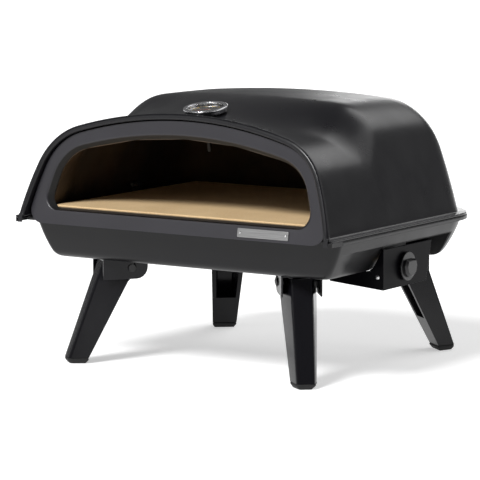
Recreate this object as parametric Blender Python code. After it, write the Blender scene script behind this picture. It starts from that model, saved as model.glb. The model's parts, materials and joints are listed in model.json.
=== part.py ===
"""Portable gas pizza oven.

A pressed steel hood with a leaning front arch stands on a pressed steel tub.
Inside are a liner, a square stone on rails and a burner at the left.
A gas valve sits in a sheet metal box on the right, and four legs fold inward.

The oven faces -Y, +X is to its right and +Z is up.  Lengths are in metres.
All pieces hang on an empty that puts the origin on the floor, under the middle of the whole.
"""
import math
from collections import namedtuple

import bmesh
import bpy
from mathutils import Vector

# An arch: half its width at the foot, its height, how far its sides lean in at the foot,
# and the radii of its bowed sides, its shoulders and its crowned top.
Arch = namedtuple("Arch", "half_width height lean side shoulder crown")

# A wall of the tub: how far it leans in at its brim, and the radius of its bow
Wall = namedtuple("Wall", "lean bow")

# Clearances
GAP = 0.0003
RUNNING_GAP = 0.0004
HOLE_CLEARANCE = 0.0005
OVERRUN = 0.004

# Sheet thicknesses
HOOD_SHEET = 0.0015
PANEL_SHEET = 0.0015
TUB_SHEET = 0.0012
LINER_SHEET = 0.0010
BOX_SHEET = 0.0014
RAIL_SHEET = 0.0015

# Hood: one pressing with a flange all round its foot and its front arch
FLANGE_TOP = 0.2130
FLANGE_WIDTH = 0.0125
HOOD_HALF_WIDTH = 0.2510
RIM_FRONT = -0.2408
RIM_SLOPE = 0.216
RIM_WIDTH = 0.0072
RIM_DROP = 0.0092
RIM_RETURN = 0.0030
RIM_FOOT_SET_IN = 0.0002
RIM_HEIGHT = 0.1472
RIM_LEAN = math.radians(12.2)
RIM_SIDE = 0.4300
RIM_SHOULDER = 0.0860
RIM_CROWN = 0.6270
HOOD_HEIGHT = 0.1702
HOOD_LEAN = math.radians(15.5)
HOOD_SIDE = 1.0140
HOOD_SHOULDER = 0.0800
HOOD_CROWN = 1.7760
HOOD_PEAK = -0.0305
HOOD_BACK = 0.1860
HOOD_CORNER = 0.0763
HOOD_BACK_LEAN = math.radians(10.9)
HOOD_BACK_SIDE = 2.0800
HOOD_BACK_SHOULDER = 0.0600
HOOD_RIDGE = 4.6800
HOOD_RIM = Arch(HOOD_HALF_WIDTH, RIM_HEIGHT, RIM_LEAN, RIM_SIDE, RIM_SHOULDER, RIM_CROWN)
HOOD_BODY = Arch(HOOD_HALF_WIDTH, HOOD_HEIGHT, HOOD_LEAN, HOOD_SIDE, HOOD_SHOULDER, HOOD_CROWN)

# The dome starts to rise behind its front arch at this share of the way to its peak,
# in the middle and at the sides
HOOD_START_SHARE = 0.12
HOOD_SIDE_START_SHARE = 0.85

# Front panel: a leaning frame round the mouth, set back into the hood's front arch
PANEL_RECESS = 0.0123
PANEL_FRONT = RIM_FRONT + PANEL_RECESS
PANEL_SLOPE = 0.170
PANEL_FOOT = 0.2030
PANEL_TO_HOOD = 0.0016
PANEL_CORNER = 0.0200
PANEL_SILL = 0.0197
MOUTH_FOOT = PANEL_FOOT + PANEL_SILL
MOUTH_HALF_WIDTH = 0.2260
MOUTH_HEIGHT = 0.1153
MOUTH_LEAN = math.radians(13.7)
MOUTH_SIDE = 0.8790
MOUTH_SHOULDER = 0.0630
MOUTH_CROWN = 0.6590
MOUTH = Arch(MOUTH_HALF_WIDTH, MOUTH_HEIGHT, MOUTH_LEAN, MOUTH_SIDE, MOUTH_SHOULDER, MOUTH_CROWN)
MOUTH_CORNER = 0.0200
MOUTH_LIP_IN = 0.0065
MOUTH_LIP_DEPTH = 0.0100

# Bare plate in the middle of the sill, to the right
PLATE_LENGTH = 0.0820
PLATE_HEIGHT = 0.0125
PLATE_THICKNESS = 0.0010
PLATE_CORNER = 0.0012
PLATE_CENTRE_X = 0.1480
PLATE_CENTRE_Z = PANEL_FOOT + PANEL_SILL / 2
PLATE_EDGE_TO_RIVET = 0.0045
RIVET_RADIUS = 0.0016
RIVET_HEIGHT = 0.0009

# Liner inside the hood, with a flange between those of the hood and the tub
LINER_FOOT = FLANGE_TOP - HOOD_SHEET - GAP
LINER_TO_LIP = 0.0010
LINER_TO_HOOD = 0.0085
LINER_HEIGHT = 0.1374
LINER_LEAN = math.radians(15.5)
LINER_SIDE = 1.0000
LINER_SHOULDER = 0.0700
LINER_CROWN = 1.1000
LINER_PEAK = -0.1300
LINER_BACK = HOOD_BACK - LINER_TO_HOOD
LINER_CORNER = 0.0700
LINER_BACK_LEAN = math.radians(15.0)
LINER_BACK_SIDE = 2.0000
LINER_BACK_SHOULDER = 0.0550
LINER_RIDGE = 4.0000
LINER_BODY = Arch(HOOD_HALF_WIDTH - LINER_TO_HOOD, LINER_HEIGHT, LINER_LEAN, LINER_SIDE, LINER_SHOULDER, LINER_CROWN)

# Tub: a pressing with bowed walls, and a level brim with its edge turned down under the hood's flange
TUB_TOP = LINER_FOOT - LINER_SHEET - GAP
TUB_BRIM = TUB_TOP - TUB_SHEET
TUB_BOTTOM = 0.1508
TUB_STEP = 0.0045
TUB_HALF_WIDTH = HOOD_HALF_WIDTH + TUB_STEP
TUB_FRONT = -0.2050
TUB_BACK = HOOD_BACK + TUB_STEP
TUB_SIDE_BOW = 0.1770
TUB_FRONT_BOW = 0.6000
TUB_BACK_BOW = 0.4000
TUB_SIDE_WALL = Wall(math.radians(15.0), TUB_SIDE_BOW)
TUB_FRONT_WALL = Wall(math.radians(6.0), TUB_FRONT_BOW)
TUB_BACK_WALL = Wall(math.radians(7.0), TUB_BACK_BOW)
TUB_FILLET = 0.0140
TUB_FRONT_CORNER = 0.0090
TUB_BACK_CORNER = 0.0780
TUB_BRIM_WIDTH = FLANGE_WIDTH - TUB_STEP
TUB_BRIM_CORNER = 0.0020
TUB_LIP = 0.0052

# Notch in the right side of the tub, and the recess that closes it from inside
NOTCH_DEPTH = 0.0595
NOTCH_LEFT = TUB_HALF_WIDTH - NOTCH_DEPTH
NOTCH_FRONT = -0.0757
NOTCH_BACK = 0.1130
NOTCH_TOP = 0.1865
RECESS_SHEET = 0.0010

# Bottom shield: a shallow pan turned over on the floor of the tub, clear of the recess
SHIELD_TO_NOTCH = 0.0060
SHIELD_HALF_WIDTH = NOTCH_LEFT - SHIELD_TO_NOTCH
SHIELD_FRONT = -0.1600
SHIELD_BACK = 0.1450
SHIELD_HEIGHT = 0.0060
SHIELD_SHEET = 0.0010

# Stone and its rails
STONE_TOP = 0.2285
STONE_THICKNESS = 0.0120
STONE_HALF_WIDTH = 0.2145
STONE_FRONT = -0.2145
STONE_DEPTH = 0.3620
STONE_EDGE = 0.0015
RAIL_X = 0.1700
RAIL_FLANGE = 0.0180
RAIL_FRONT = -0.1560
RAIL_BACK = 0.1400

# Burner
BAR_X = -0.2240
BAR_Z = 0.2260
BAR_RADIUS = 0.0060
BAR_FRONT = 0.0060
BAR_BACK = 0.1160
GUARD_SHEET = 0.0015
GUARD_HALF_WIDTH = 0.0070
GUARD_BELOW = 0.0080
GUARD_ABOVE = 0.0145
GUARD_CORNER = 0.0020
SUPPLY_RADIUS = 0.0080
SUPPLY_Z = 0.1725
SUPPLY_BEND = 0.0200
RISER_Y = 0.0220
IGNITER_RADIUS = 0.0030
IGNITER_RISE = 0.0100
IGNITER_FRONT = 0.0120
IGNITER_BACK = 0.0100
ELECTRODE_RADIUS = 0.0010
ELECTRODE_LENGTH = 0.0080

# Valve, its box and its knob
VALVE_Y = -0.0167
VALVE_Z = 0.1526
VALVE_RADIUS = 0.0110
VALVE_TO_NOTCH = 0.0210
VALVE_LEFT = NOTCH_LEFT + VALVE_TO_NOTCH
VALVE_NECK_RADIUS = 0.0070
VALVE_NECK_LENGTH = 0.0040
STEM_RADIUS = 0.0035
STEM_LENGTH = 0.0130
BOX_SET_IN = 0.0065
BOX_FACE = TUB_HALF_WIDTH - BOX_SET_IN
BOX_TOP = 0.1820
BOX_BOTTOM = 0.1250
BOX_TO_NOTCH = 0.0026
BOX_FRONT = NOTCH_FRONT - BOX_TO_NOTCH
BOX_BACK_TOP = 0.0573
BOX_BACK_BOTTOM = 0.0413
BOX_REACH = 0.0866
BOX_TIP = BOX_FACE - BOX_REACH
BOX_TIP_BOTTOM = 0.1320
BOX_REAR_REACH = 0.0400
BOX_TO_TUB = 0.0005
BOX_SCREW_TO_FACE = 0.0086
BOX_SCREW_X = BOX_FACE - BOX_SCREW_TO_FACE
BOX_SCREW_Z = 0.1430
BOX_SCREW_RADIUS = 0.0032
BOX_SCREW_SHANK = 0.0018
BOX_SCREW_HEIGHT = 0.0022
BOX_SCREW_LENGTH = 0.0080
KNOB_RADIUS = 0.0204
KNOB_SKIRT = 0.0030
KNOB_GRIP_RADIUS = 0.0127
KNOB_GRIP = 0.0062
KNOB_FLAT = 0.0078
KNOB_EDGE = 0.0010
KNOB_TRAVEL = 0.0020
PIPE_RADIUS = 0.0040
PIPE_BEND = 0.0080
INLET_RADIUS = 0.0052
INLET_TIP_RADIUS = 0.0042
INLET_TIP = 0.0050
INLET_LENGTH = 0.0240
INLET_HEX_RADIUS = 0.0078
INLET_HEX_LENGTH = 0.0070

# Thermometer on the hood, behind the front arch
THERMO_Y = -0.1450
THERMO_LIFT = 0.0006
THERMO_BOSS_RADIUS = 0.0150
THERMO_BOSS = 0.0016
THERMO_RADIUS = 0.0300
THERMO_CASE = 0.0040
THERMO_WALL = 0.0030
THERMO_FLOOR = 0.0013
BEZEL_OUTER = 0.0315
BEZEL_INNER = 0.0255
BEZEL_HEIGHT = 0.0032
BEZEL_ROUND = 0.0010
DIAL_THICKNESS = 0.0005
GLASS_THICKNESS = 0.0008
POINTER_LENGTH = 0.0210
POINTER_TAIL = 0.0060
POINTER_WIDTH = 0.0016
POINTER_THICKNESS = 0.0005
POINTER_HUB = 0.0026
POINTER_REST = math.radians(135.0)
SPINDLE_RADIUS = 0.0008
PROBE_RADIUS = 0.0030
PROBE_LENGTH = 0.0550
NUT_RADIUS = 0.0078
NUT_HEIGHT = 0.0050

# Legs, in their own frame: origin on the pivot, +X outward and +Z up
PIVOT_X = 0.1453
PIVOT_Y = 0.1341
PIVOT_Z = 0.1370
LEG_WALL = 0.0025
LEG_TOP = 0.0088
LEG_TOP_OUTER = 0.0390
LEG_FOOT_OUTER = 0.0895
LEG_FOOT_INNER = 0.0615
LEG_KNEE_INNER = 0.0050
LEG_KNEE = -0.0205
LEG_BOSS_RADIUS = 0.0100
LEG_HEAD_START = math.radians(118.4)
LEG_HEAD_END = math.radians(217.0)
LEG_OUTER_TOP_HALF = 0.0150
LEG_OUTER_FOOT_HALF = 0.0130
LEG_INNER_TOP_HALF = 0.0255
LEG_INNER_FOOT_HALF = 0.0185
LEG_CORNER = 0.0045
LEG_HOLLOW_SHARE = 0.62
LEG_OPEN_SIDE = 0.0300
LEG_HEAD_STEPS = 3
LEG_STEPS = 2
PAD_HEIGHT = 0.0080
PAD_CHAMFER = 0.0050
LEG_FOOT = PAD_HEIGHT + GAP - PIVOT_Z
BRACKET_SHEET = 0.0025
BRACKET_INNER = -0.0240
BRACKET_OUTER = 0.0420
BRACKET_DROP = 0.0160
BRACKET_ROUND = 0.0170
BRACKET_SIDE_GAP = 0.0006
BRACKET_RIVET_X = -0.0170
PIN_RADIUS = 0.0030
PIN_HEAD_RADIUS = 0.0055
PIN_HEAD = 0.0022
BRACKET_RIVET_RADIUS = 0.0025
BRACKET_RIVET_HEAD = 0.0045
BRACKET_RIVET_HEIGHT = 0.0020
LEG_SPLAY = 51.0
LEG_AZIMUTHS = {"front_right": -LEG_SPLAY, "back_right": LEG_SPLAY, "back_left": 180 - LEG_SPLAY,
                "front_left": LEG_SPLAY - 180}

# Screws that hold the hood to the tub, from below through both flanges
HOOD_SCREW_PLACES = {"front": -0.1500, "back": 0.0800}
HOOD_SCREW_RADIUS = 0.0015
HOOD_SCREW_HEAD = 0.0026
HOOD_SCREW_HEAD_HEIGHT = 0.0018

# Faces of round pieces, and steps of the arches
ROUND_STEPS = 24
MIDDLE_STEPS = 16
SMALL_STEPS = 12
CORNER_STEPS = 5
WALL_STEPS = 3
FILLET_STEPS = 4

# Steps of an arch: side, shoulder and crown.  A dome adds its front, middle and rear corner.
HOOD_STEPS = (3, 7, 4, 9, 2, 6)
LINER_STEPS = (1, 4, 2, 3, 1, 4)
PANEL_STEPS = (2, 6, 4)
SPINE_STEPS = (4, 24, 12)
SMOOTH_ANGLE = math.radians(35)

# A low section of a dome may use these shares of its height for shoulder and crown
SHOULDER_SHARE = 0.75
CROWN_SHARE = 0.35


# Basic tools

def clear_scene():
    for obj in list(bpy.data.objects):
        bpy.data.objects.remove(obj)


def material(name, colour, roughness, metallic):
    mat = bpy.data.materials.new(name)
    mat.use_nodes = True
    shader = mat.node_tree.nodes["Principled BSDF"]
    shader.inputs["Base Color"].default_value = (*colour, 1.0)
    shader.inputs["Roughness"].default_value = roughness
    shader.inputs["Metallic"].default_value = metallic
    mat.diffuse_color = (*colour, 1.0)
    return mat


def empty(name, location, parent=None, rotation=(0, 0, 0)):
    obj = bpy.data.objects.new(name, None)
    obj.location = location
    obj.rotation_euler = rotation
    obj.parent = parent
    bpy.context.collection.objects.link(obj)
    return obj


def place(name, data, mat, parent, location=(0, 0, 0), rotation=(0, 0, 0)):
    obj = bpy.data.objects.new(name, data)
    obj.parent = parent
    obj.location = location
    obj.rotation_euler = rotation
    bpy.context.collection.objects.link(obj)
    if not data.materials:
        data.materials.append(mat)
    return obj


def mesh_from(name, bm):
    mesh = bpy.data.meshes.new(name)
    bm.to_mesh(mesh)
    bm.free()
    mesh.shade_smooth()
    mesh.set_sharp_from_angle(angle=SMOOTH_ANGLE)
    return mesh


def closed_mesh(name, bm):
    bmesh.ops.recalc_face_normals(bm, faces=bm.faces)
    return mesh_from(name, bm)


def sheet_mesh(name, bm, inside):
    """An open surface whose faces point away from the point given as inside."""
    bmesh.ops.recalc_face_normals(bm, faces=bm.faces)
    bm.normal_update()
    outward = sum(face.normal.dot(face.calc_center_median() - Vector(inside)) * face.calc_area()
                  for face in bm.faces)
    if outward < 0:
        bmesh.ops.reverse_faces(bm, faces=bm.faces)
    return mesh_from(name, bm)


def thicken(obj, thickness):
    """Gives a surface its sheet thickness, on its inner side."""
    solid = obj.modifiers.new("thickness", "SOLIDIFY")
    solid.thickness = thickness
    solid.offset = -1
    solid.use_even_offset = True
    solid.use_quality_normals = True
    return solid


def cut(obj, cutters):
    """Cuts holes with Boolean modifiers; the cutters stay out of the model."""
    for cutter in cutters:
        cutter.hide_render = True
        cutter.display_type = "WIRE"
        boolean = obj.modifiers.new("cut", "BOOLEAN")
        boolean.operation = "DIFFERENCE"
        boolean.solver = "EXACT"
        boolean.object = cutter


def join_solids(obj, others):
    for other in others:
        other.hide_render = True
        other.display_type = "WIRE"
        boolean = obj.modifiers.new("union", "BOOLEAN")
        boolean.operation = "UNION"
        boolean.solver = "EXACT"
        boolean.object = other


# Shapes

def loft(loops, cap=True):
    """Skins closed loops of points with equal counts, one after the other."""
    bm = bmesh.new()
    rings = [[bm.verts.new(point) for point in loop] for loop in loops]
    count = len(rings[0])
    for ring, following in zip(rings, rings[1:]):
        for i in range(count):
            j = (i + 1) % count
            bm.faces.new((ring[i], ring[j], following[j], following[i]))
    if cap:
        bm.faces.new(rings[0][::-1])
        bm.faces.new(rings[-1])
    return bm


def prism(outline, low, high):
    """An outline in the XY plane, raised from low to high."""
    return loft([[(x, y, low) for x, y in outline], [(x, y, high) for x, y in outline]])


def block(low, high):
    (x0, y0, z0), (x1, y1, z1) = low, high
    return prism([(x0, y0), (x1, y0), (x1, y1), (x0, y1)], z0, z1)


def turned(profile, steps=ROUND_STEPS):
    """A solid turned about Z from a profile of (radius, height), its ends on the axis."""
    bm = bmesh.new()
    rings = []
    for radius, height in profile:
        if radius == 0:
            rings.append([bm.verts.new((0, 0, height))])
            continue
        angles = [2 * math.pi * k / steps for k in range(steps)]
        rings.append([bm.verts.new((radius * math.cos(a), radius * math.sin(a), height)) for a in angles])
    for ring, following in zip(rings, rings[1:]):
        for k in range(steps):
            n = (k + 1) % steps
            if len(ring) == 1:
                bm.faces.new((ring[0], following[k], following[n]))
            elif len(following) == 1:
                bm.faces.new((ring[k], ring[n], following[0]))
            else:
                bm.faces.new((ring[k], ring[n], following[n], following[k]))
    return bm


def turned_ring(profile, steps=ROUND_STEPS):
    """A ring turned about Z from a closed profile that stays clear of the axis."""
    angles = [2 * math.pi * k / steps for k in range(steps)]
    bm = bmesh.new()
    rings = [[bm.verts.new((r * math.cos(a), r * math.sin(a), z)) for r, z in profile] for a in angles]
    count = len(profile)
    for k in range(steps):
        ring, following = rings[k], rings[(k + 1) % steps]
        for i in range(count):
            j = (i + 1) % count
            bm.faces.new((ring[i], ring[j], following[j], following[i]))
    return bm


def rod(radius, low, high, steps=SMALL_STEPS):
    return turned([(0, low), (radius, low), (radius, high), (0, high)], steps)


def circle_points(radius):
    return [(radius * math.cos(2 * math.pi * k / SMALL_STEPS), radius * math.sin(2 * math.pi * k / SMALL_STEPS))
            for k in range(SMALL_STEPS)]


def hexagon_points(radius):
    """A hexagon's corners and the middles of its sides, as many points as circle_points gives."""
    flat = math.cos(math.pi / 6)
    return [(x * share, y * share) for (x, y), share in zip(circle_points(radius), [1, flat] * 6)]


def arc(centre_x, centre_y, radius, start, end, steps):
    """Points on an arc, both ends included; angles in radians."""
    angles = [start + (end - start) * k / steps for k in range(steps + 1)]
    return [(centre_x + radius * math.cos(a), centre_y + radius * math.sin(a)) for a in angles]


def rounded_rectangle(x0, y0, x1, y1, radii, steps=CORNER_STEPS):
    """Corner radii run from the front right corner round to the front left one."""
    corners = [(x1, y0, -0.5), (x1, y1, 0.0), (x0, y1, 0.5), (x0, y0, 1.0)]
    points = []
    for (x, y, turn), radius in zip(corners, radii):
        cx = x - radius if x == x1 else x + radius
        cy = y - radius if y == y1 else y + radius
        points += arc(cx, cy, radius, turn * math.pi, (turn + 0.5) * math.pi, steps)
    return points


def pipe(name, points, radius, resolution, mat, parent):
    """A round tube along points, with closed ends."""
    curve = bpy.data.curves.new(name, "CURVE")
    curve.dimensions = "3D"
    curve.bevel_depth = radius
    curve.bevel_resolution = resolution
    curve.use_fill_caps = True
    spline = curve.splines.new("POLY")
    spline.points.add(len(points) - 1)
    for target, point in zip(spline.points, points):
        target.co = (*point, 1.0)
    return place(name, curve, mat, parent)


# Arches and domes

def arch_half(arch, steps, corner=0):
    """Points (across, up) of an arch from its right foot to its top.

    Its bowed side, shoulder and crown are arcs that run into each other.  With a corner radius,
    the points start in the middle of a level foot and turn up into the side.
    """
    side_steps, shoulder_steps, crown_steps = steps[:3]
    side = arch.side
    shoulder = min(arch.shoulder, SHOULDER_SHARE * arch.height)
    crown = max(arch.crown, arch.half_width ** 2 / (2 * CROWN_SHARE * arch.height))
    side_centre = Vector((arch.half_width - side * math.cos(arch.lean), -side * math.sin(arch.lean)))
    crown_centre = Vector((0, arch.height - crown))
    apart = crown_centre - side_centre
    to_shoulder = side - shoulder
    turn = to_shoulder ** 2 + apart.length_squared - (crown - shoulder) ** 2
    top = math.atan2(apart.y, apart.x) + math.acos(turn / (2 * to_shoulder * apart.length))
    centre = side_centre + to_shoulder * Vector((math.cos(top), math.sin(top)))
    meeting = math.atan2(centre.y - crown_centre.y, centre.x)
    start = arch.lean
    points = []
    if corner:
        start = math.asin((corner - side_centre.y) / (side - corner))
        corner_x = side_centre.x + (side - corner) * math.cos(start)
        points = [(0, 0)] + arc(corner_x, corner, corner, -math.pi / 2, start, CORNER_STEPS)[:-1]
    points += arc(side_centre.x, side_centre.y, side, start, top, side_steps)[:-1]
    points += arc(centre.x, centre.y, shoulder, top, meeting, shoulder_steps)
    points += arc(0, crown_centre.y, crown, meeting, math.pi / 2, crown_steps)[1:]
    return points


def inset_arch(arch, inward, lower=0):
    """The arch that runs inside another at an even distance, with its foot lower down."""
    side = arch.side - inward
    lean = math.asin((arch.side * math.sin(arch.lean) - lower) / side)
    half_width = arch.half_width - arch.side * math.cos(arch.lean) + side * math.cos(lean)
    return Arch(half_width, arch.height - inward + lower, lean, side, arch.shoulder - inward, arch.crown - inward)


def mirrored(half):
    """Adds the left half of an arch to its right half."""
    return half + [(-x, *rest) for x, *rest in half[-2::-1]]


def closed_arch(arch, corner):
    """An arch closed by a straight foot with rounded corners, from the foot's middle round."""
    return mirrored(arch_half(arch, PANEL_STEPS, corner))[:-1]


Dome = namedtuple("Dome", "foot front slope rim body peak back corner back_lean back_side back_shoulder ridge "
                          "start_share side_start_share steps")


def rise_share(dome, across, way):
    """How far the dome has risen from its front arch, at a share of its width and of the way to its peak."""
    start = dome.start_share + (dome.side_start_share - dome.start_share) * across ** 2
    t = min(max((way - start) / (1 - start), 0), 1)
    return t * t * (3 - 2 * t)


def dome_half_width(dome, y):
    """Half the width of the dome's foot at y, less at the rounded back corners."""
    into_corner = y - (dome.back - dome.corner)
    if into_corner <= 0:
        return dome.body.half_width
    drawn_in = math.sqrt(max(dome.corner ** 2 - into_corner ** 2, 0))
    return dome.body.half_width - dome.corner + drawn_in


def height_at(half_arch, across):
    """Height of a half arch so far from its middle."""
    for (outer, low), (inner, high) in zip(half_arch, half_arch[1:]):
        if inner <= across <= outer:
            return low + (high - low) * (outer - across) / (outer - inner)
    return half_arch[-1][1]


def rear_places(dome):
    """Places along Y behind the peak: even steps to the rounded corners, then even turns round them."""
    *_, middle_steps, corner_steps = dome.steps
    start = dome.back - dome.corner
    places = [dome.peak + (start - dome.peak) * k / middle_steps for k in range(1, middle_steps)]
    return places + [start + dome.corner * math.sin(math.pi / 2 * k / corner_steps) for k in range(corner_steps)]


def dome_rows(dome):
    """Rows of points over the dome, from its front arch to its back foot."""
    rows = []
    front_steps = dome.steps[3]
    rim = arch_half(dome.rim, dome.steps)
    body = arch_half(dome.body, dome.steps)
    for k in range(front_steps + 1):
        way = k / front_steps
        half = []
        for (rim_x, rim_up), (body_x, body_up) in zip(rim, body):
            risen = rise_share(dome, rim_x / dome.rim.half_width, way)
            start = dome.front + dome.slope * rim_up
            half.append((rim_x + (body_x - rim_x) * risen, start + (dome.peak - start) * way,
                         dome.foot + rim_up + (body_up - rim_up) * risen))
        rows.append(mirrored(half))
    spine = Arch(dome.back - dome.peak, dome.body.height, dome.back_lean, dome.back_side, dome.back_shoulder,
                 dome.ridge)
    profile = arch_half(spine, SPINE_STEPS)
    for y in rear_places(dome):
        arch = dome.body._replace(half_width=dome_half_width(dome, y), height=height_at(profile, y - dome.peak))
        rows.append([(x, y, dome.foot + up) for x, up in mirrored(arch_half(arch, dome.steps))])
    last_width = dome_half_width(dome, dome.back)
    widest = rows[-1][0][0]
    rows.append([(x * last_width / widest, dome.back, dome.foot) for x, _, _ in rows[-1]])
    return rows


def dome_height(dome, y):
    """Height of the middle of the dome's front part above the floor, at y."""
    start = dome.front + dome.slope * dome.rim.height
    risen = rise_share(dome, 0, (y - start) / (dome.peak - start))
    return dome.foot + dome.rim.height + (dome.body.height - dome.rim.height) * risen


def dome_surface(dome):
    """The dome as an open surface, with its rows of vertices."""
    bm = bmesh.new()
    rows = [[bm.verts.new(point) for point in row] for row in dome_rows(dome)]
    for row, following in zip(rows, rows[1:]):
        for i in range(len(row) - 1):
            bm.faces.new((row[i], row[i + 1], following[i + 1], following[i]))
    return bm, rows


def strip(bm, first, second):
    for i in range(len(first) - 1):
        bm.faces.new((first[i], first[i + 1], second[i + 1], second[i]))


def foot_chain(dome, rows):
    """The dome's foot from front right round the back to front left, with outward directions."""
    chain = []
    for row in rows[:-1]:
        y = row[0].co.y
        turn = math.asin(min(max((y - dome.back + dome.corner) / dome.corner, 0), 1))
        chain.append((row[0], Vector((math.cos(turn), math.sin(turn), 0))))
    chain += [(vertex, Vector((0, 1, 0))) for vertex in rows[-1]]
    for row in rows[-2::-1]:
        y = row[-1].co.y
        turn = math.asin(min(max((y - dome.back + dome.corner) / dome.corner, 0), 1))
        chain.append((row[-1], Vector((-math.cos(turn), math.sin(turn), 0))))
    return chain


# Domes of the hood and its liner.  The hood's front flange lies ahead of its dome by its sheet.
DOME_FRONT = RIM_FRONT + HOOD_SHEET * (math.hypot(1, RIM_SLOPE) + RIM_SLOPE)
HOOD_DOME = Dome(FLANGE_TOP, DOME_FRONT, RIM_SLOPE, HOOD_RIM, HOOD_BODY, HOOD_PEAK, HOOD_BACK,
                 HOOD_CORNER, HOOD_BACK_LEAN, HOOD_BACK_SIDE, HOOD_BACK_SHOULDER, HOOD_RIDGE,
                 HOOD_START_SHARE, HOOD_SIDE_START_SHARE, HOOD_STEPS)


def strip_front(z):
    """Front face of the strip round the hood's front arch, at height z."""
    return DOME_FRONT - HOOD_SHEET * math.hypot(1, RIM_SLOPE) + RIM_SLOPE * (z - FLANGE_TOP)


def panel_y(z):
    """Front face of the front panel at height z."""
    return PANEL_FRONT + PANEL_SLOPE * (z - FLANGE_TOP)


# The panel's outline follows the hood's front arch, and the liner's front arch the lip of the mouth
PANEL_OUTLINE = inset_arch(HOOD_RIM, HOOD_SHEET + PANEL_TO_HOOD, FLANGE_TOP - PANEL_FOOT)
MOUTH_LIP = inset_arch(MOUTH, MOUTH_LIP_IN)
LINER_RIM = inset_arch(MOUTH_LIP, -LINER_TO_LIP, MOUTH_FOOT - LINER_FOOT)
LINER_DOME = Dome(LINER_FOOT, panel_y(LINER_FOOT) + MOUTH_LIP_DEPTH + PANEL_SHEET + GAP, PANEL_SLOPE, LINER_RIM,
                  LINER_BODY, LINER_PEAK, LINER_BACK, LINER_CORNER, LINER_BACK_LEAN, LINER_BACK_SIDE,
                  LINER_BACK_SHOULDER, LINER_RIDGE, 0, 0, LINER_STEPS)


# Hood and liner

def hood_screw_x():
    """Screws pass midway between the tub's wall and the lip of its brim."""
    return TUB_HALF_WIDTH + (TUB_BRIM_WIDTH - TUB_SHEET) / 2


def hood_screw_places():
    return {f"{end}_{side}": (sign * hood_screw_x(), y)
            for end, y in HOOD_SCREW_PLACES.items() for side, sign in (("right", 1), ("left", -1))}


def screw_holes(name, root):
    """Cutters for the four hood screws."""
    holes = []
    for place_name, (x, y) in hood_screw_places().items():
        bm = rod(HOOD_SCREW_RADIUS + HOLE_CLEARANCE, TUB_TOP - OVERRUN, FLANGE_TOP + OVERRUN)
        holes.append(place(f"{name}_hole_{place_name}", closed_mesh("hole", bm), STEEL, root, (x, y, 0)))
    return holes


def thermo_seat():
    """Place and tilt of the thermometer: on the hood, along the surface under its boss."""
    ahead = dome_height(HOOD_DOME, THERMO_Y - THERMO_BOSS_RADIUS)
    behind = dome_height(HOOD_DOME, THERMO_Y + THERMO_BOSS_RADIUS)
    tilt = math.atan((behind - ahead) / (2 * THERMO_BOSS_RADIUS))
    return (0, THERMO_Y, dome_height(HOOD_DOME, THERMO_Y)), (tilt, 0, 0)


def probe_hole(name, root, radius):
    bm = rod(radius, -PROBE_LENGTH, PROBE_LENGTH / 2)
    return place(name, closed_mesh(name, bm), STEEL, root, *thermo_seat())


def make_hood(root):
    """The dome, the flange round its foot with a turned edge, and the strip round its front arch."""
    bm, rows = dome_surface(HOOD_DOME)
    chain = foot_chain(HOOD_DOME, rows)
    feet = [vertex for vertex, _ in chain]
    edges = [bm.verts.new(vertex.co + outward * FLANGE_WIDTH) for vertex, outward in chain]
    strip(bm, feet[1:-1], edges[1:-1])
    corners = [bm.verts.new(chain[end][0].co + chain[end][1] * RIM_WIDTH) for end in (0, -1)]
    bm.faces.new((feet[0], feet[1], edges[1], edges[0], corners[0]))
    bm.faces.new((feet[-1], feet[-2], edges[-2], edges[-1], corners[1]))
    drop = FLANGE_TOP - TUB_TOP - GAP
    lips = [bm.verts.new(vertex.co - Vector((0, 0, drop))) for vertex in edges]
    strip(bm, edges, lips)
    arch_flange = [corners[0]]
    returns = []
    rim = rows[0]
    for before, vertex, after in zip(rim, rim[1:], rim[2:]):
        along = after.co - before.co
        outward = Vector((along.z, 0, -along.x)).normalized()
        point = vertex.co + outward * (RIM_WIDTH - HOOD_SHEET)
        point.y = HOOD_DOME.front + RIM_SLOPE * (point.z - FLANGE_TOP)
        arch_flange.append(bm.verts.new(point))
        returns.append(bm.verts.new(point + Vector((0, RIM_RETURN, 0))))
    arch_flange.append(corners[1])
    strip(bm, rim, arch_flange)
    strip(bm, arch_flange[1:-1], returns)
    hood = place("hood_shell", sheet_mesh("hood_shell", bm, (0, 0, FLANGE_TOP)), HOOD_PAINT, root)
    thicken(hood, HOOD_SHEET)
    join_solids(hood, rim_feet(root))
    cut(hood, screw_holes("hood", root) + [probe_hole("hood_probe_hole", root, PROBE_RADIUS + HOLE_CLEARANCE)])


def rim_feet(root):
    """The feet of the front strip, which run down ahead of the tub's brim."""
    feet = []
    inner = HOOD_HALF_WIDTH + RIM_FOOT_SET_IN
    outer = HOOD_HALF_WIDTH + RIM_WIDTH - RIM_FOOT_SET_IN
    for side, sign in (("right", 1), ("left", -1)):
        loops = []
        for z in (FLANGE_TOP - RIM_DROP, FLANGE_TOP - HOOD_SHEET / 2):
            front = strip_front(z) + RIM_FOOT_SET_IN
            back = DOME_FRONT + RIM_SLOPE * (z - FLANGE_TOP) - RIM_FOOT_SET_IN
            loops.append([(sign * x, y, z) for x, y in ((inner, front), (outer, front), (outer, back), (inner, back))])
        feet.append(place(f"rim_foot_{side}", closed_mesh("rim_foot", loft(loops)), HOOD_PAINT, root))
    return feet


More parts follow.
